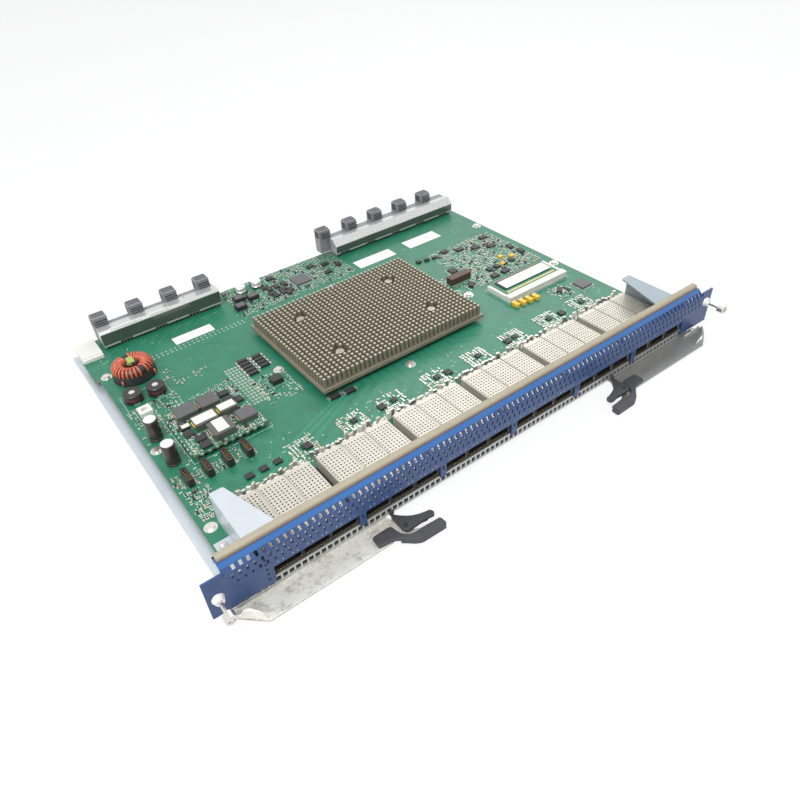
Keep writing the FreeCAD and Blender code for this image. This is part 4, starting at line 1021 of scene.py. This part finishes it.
# how far along the end flap its outline is known, and its height there as a part of the whole
ALONG = [0, 0.04, 0.1, 0.2, 0.3, 0.4, 0.48, 0.54, 0.6, 0.64, 0.68, 0.76, 0.88, 1.0]
RISE = [0, 0.3, 0.54, 0.74, 0.86, 0.95, 1.0, 1.0, 0.94, 0.72, 0.47, 0.38, 0.32, 0.28]
GRIP_HEAD = [(-21.9, 6.4), (-21.0, 7.0), (-18.4, 7.2), (-9.5, 7.3), (-7.8, 6.9), (-6.9, 5.8), (-6.2, 2.0),
             (-5.5, -1.0), (-6.0, -6.9), (-10.7, -3.3), (-21.6, -1.7), (-22.3, -1.2)]
GRIP_NECK = [(-5.5, -1.0), (-4.9, -2.2), (-3.9, -3.5), (-2.2, -5.1), (-0.2, -6.1), (3.0, -6.6), (7.2, -6.5),
             (21.6, -7.2), (22.6, -8.0), (22.9, -13.0), (22.0, -14.1), (4.0, -13.7), (1.9, -13.1),
             (-1.1, -11.4), (-5.9, -7.0), (-8.0, -5.4)]
TRIGGER = [(-1.1, 12.9), (1.6, 9.4), (5.4, 5.9), (8.4, 3.9), (11.5, 2.6), (16.0, 1.3), (19.6, 0.7),
           (20.9, -0.6), (21.2, -2.9), (19.9, -4.6), (17.0, -4.3), (13.2, -3.6), (6.0, -3.9), (-0.2, -4.0),
           (-2.3, -3.2), (-3.4, -0.9), (-3.3, 11.4), (-2.4, 12.9)]


def lever(name, side):
    arm, latch = name + "_lever_arm", name + "_latch"
    px, py = PIVOT
    low, top, front = 1.7, 3.2, -17.5  # the sheet's two faces, and its front edge
    near, far = (px + 6, front), (px - 11, front + 16.1)  # the two ends of the flap's foot
    sheet = [(px - 9.5, py + 4), (px - 9.5, py - 1.5), (px - 6.5, py - 2.4), far, near, (PIN[0] - 9.4, front)]
    sheet += from_pin([(-3.3, -7.6), (19.2, -11.3), (20.0, -5.4), (8.0, -4.4), (3.6, -2.0), (4.0, 4.2),
                       (-3.4, 14.6), (-3.8, 18.6)])
    sheet += [(px + 14, PIN[1] + 18.6), (px + 10, py + 6), (px, py + 8)]
    b = Build()
    b.prism(mirrored(sheet, side), low, top)
    run, back = far[0] - near[0], far[1] - near[1]
    ux, uy = run / hypot(run, back), back / hypot(run, back)
    flap, web = [], []
    for depth, drop in ((0, 0), (1.4, 1.3)):  # the near skin, then the far one
        for s, r in zip(ALONG, RISE):
            x, y = near[0] + run * s, near[1] + back * s
            u, v = side * (x + uy * depth), y - ux * depth
            flap += [(u, v, low), (u, v, top + 9.3 * r)]
            # the web runs from the fold up to the flap
            web += [(side * (px + 12.1 - 4.8 * s), -14.9 + 13.3 * s, top + 0.1 - drop),
                    (side * (x + uy), y - ux, top + 9.2 * r - drop)]
    flap_faces, web_faces = [], []
    for p in range(0, 2 * len(RISE) - 2, 2):
        q = p + 2 * len(RISE)
        flap_faces += [(p, p + 2, p + 3, p + 1), (q, q + 1, q + 3, q + 2), (p + 1, p + 3, q + 3, q + 1)]
        web_faces += [(p, p + 1, p + 3, p + 2), (q, q + 2, q + 3, q + 1), (p, p + 2, q + 2, q)]
    b.add(flap, flap_faces)
    # painted shadow: a dark strip along the sheet's lower front edge
    x0, x1 = sorted((side * near[0], side * (PIN[0] - 11.8)))
    b.box(x0, front - 0.06, low - 0.05, x1, front + 0.2, low + 0.4, 1)
    b.add(web, web_faces)
    # the right lever takes the darker plate, as painted shade
    plate = "lever" if side > 0 else "lever_painted_shade"
    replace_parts(b.make(name + "_lever_sheet", plate + " lever_edge", arm, bevel=0.15), name + "_lever")
    g = Build()
    g.prism(mirrored(from_pin(GRIP_HEAD), side), top, 5.97)
    g.prism(mirrored(from_pin(GRIP_NECK), side), 0.8, 6.0)
    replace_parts(g.make(name + "_grip_mould", "grip", arm, bevel=0.45), name + "_grip")
    t = Build()
    t.prism(mirrored(from_pin(TRIGGER), side), 5.7, 8.0)
    cx, cy, shrink = 5.0, 0.6, 0.72  # the lower part is a smaller copy about this point
    lower = [(cx + (x - cx) * shrink, cy + (y - cy) * shrink) for x, y in TRIGGER]
    t.prism(mirrored(from_pin(lower), side), 3.4, 5.8)
    (x0, y0), (x1, y1) = from_pin([(-3.2, 12.4), (0.2, 13.9)])
    x0, x1 = sorted((side * x0, side * x1))
    t.box(x0, y0, 7.5, x1, y1, 11.2)
    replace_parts(t.make(name + "_trigger_mould", "grip", latch, bevel=0.4), name + "_trigger")


heat_sink()
for i in range(1, 7):
    port_cage(i)
front_panel()
lever("left", 1)
lever("right", -1)
board_print()
surface_parts()
converter()
toroid()
round_parts()
headers()
connectors()
memory()


# ---- camera, floor and light
def camera():
    data = bpy.data.cameras.new("camera")
    data.sensor_width = 36.0
    data.lens = 30.075
    data.clip_start = 0.01
    obj = in_scene("camera", data)
    right = Vector((0.79702, -0.60168, -0.05236))
    up = Vector((0.41873, 0.48804, 0.76582))
    back = Vector((-0.43523, -0.63230, 0.64092))
    place = Vector((-262.54, -244.02 + PANEL_Y, 343.06)) * MM
    obj.matrix_world = Matrix.Translation(place) @ Matrix((right, up, back)).transposed().to_4x4()
    bpy.context.scene.camera = obj


def background_rays(tree):
    """One for the rays that show the plain background, and nought for those that light the card."""
    path = node(tree, "LightPath", {})
    value = path.outputs["Is Camera Ray"]
    for name in ("Is Glossy Ray", "Is Transmission Ray"):
        value = node(tree, "Math", {0: value, 1: path.outputs[name]}, operation="MAXIMUM").outputs["Value"]
    return value


def blend(tree, factor, below, above, output):
    """Feeds an output node with a mix of two shaders."""
    mix = node(tree, "MixShader", {0: factor, 1: below, 2: above})
    link(tree, mix.outputs["Shader"], tree.nodes[output].inputs["Surface"])


def floor():
    mesh = bpy.data.meshes.new("floor")
    mesh.from_pydata([(-6, -6, 0), (6, -6, 0), (6, 6, 0), (-6, 6, 0)], [], [(0, 1, 2, 3)])
    obj = in_scene("floor", mesh)
    mat = bpy.data.materials.new("floor_white")
    mat.use_nodes = True
    tree = mat.node_tree
    shader = feed(tree.nodes["Principled BSDF"], {"Base Color": (0.86, 0.86, 0.86, 1), "Roughness": 0.9})
    glow = node(tree, "Emission", {})
    # the floor's own shading keeps the other part, so the card's shadow shows
    part = node(tree, "Math", {0: background_rays(tree), 1: 0.82}, operation="MULTIPLY")
    blend(tree, part.outputs["Value"], shader.outputs["BSDF"], glow.outputs["Emission"], "Material Output")
    mesh.materials.append(mat)


def lights():
    world = bpy.data.worlds.new("studio")
    bpy.context.scene.world = world
    world.use_nodes = True
    tree = world.node_tree
    sky = feed(tree.nodes["Background"], {"Color": (0.95, 0.97, 1.0, 1), "Strength": 0.62})
    white = node(tree, "Background", {"Color": (1, 1, 1, 1)})
    blend(tree, background_rays(tree), sky.outputs["Background"], white.outputs["Background"], "World Output")
    for name, place, size, power in (("key", (-0.7, -0.5, 1.3), 0.9, 19), ("fill", (0.9, 0.6, 1.2), 1.2, 8)):
        data = bpy.data.lights.new(name, "AREA")
        data.size = size
        data.energy = power
        lamp = in_scene(name, data)
        lamp.location = place
        lamp.rotation_euler = (-Vector(place)).to_track_quat("-Z", "Y").to_euler()
    bpy.context.scene.view_settings.view_transform = "Standard"


camera()
floor()
lights()
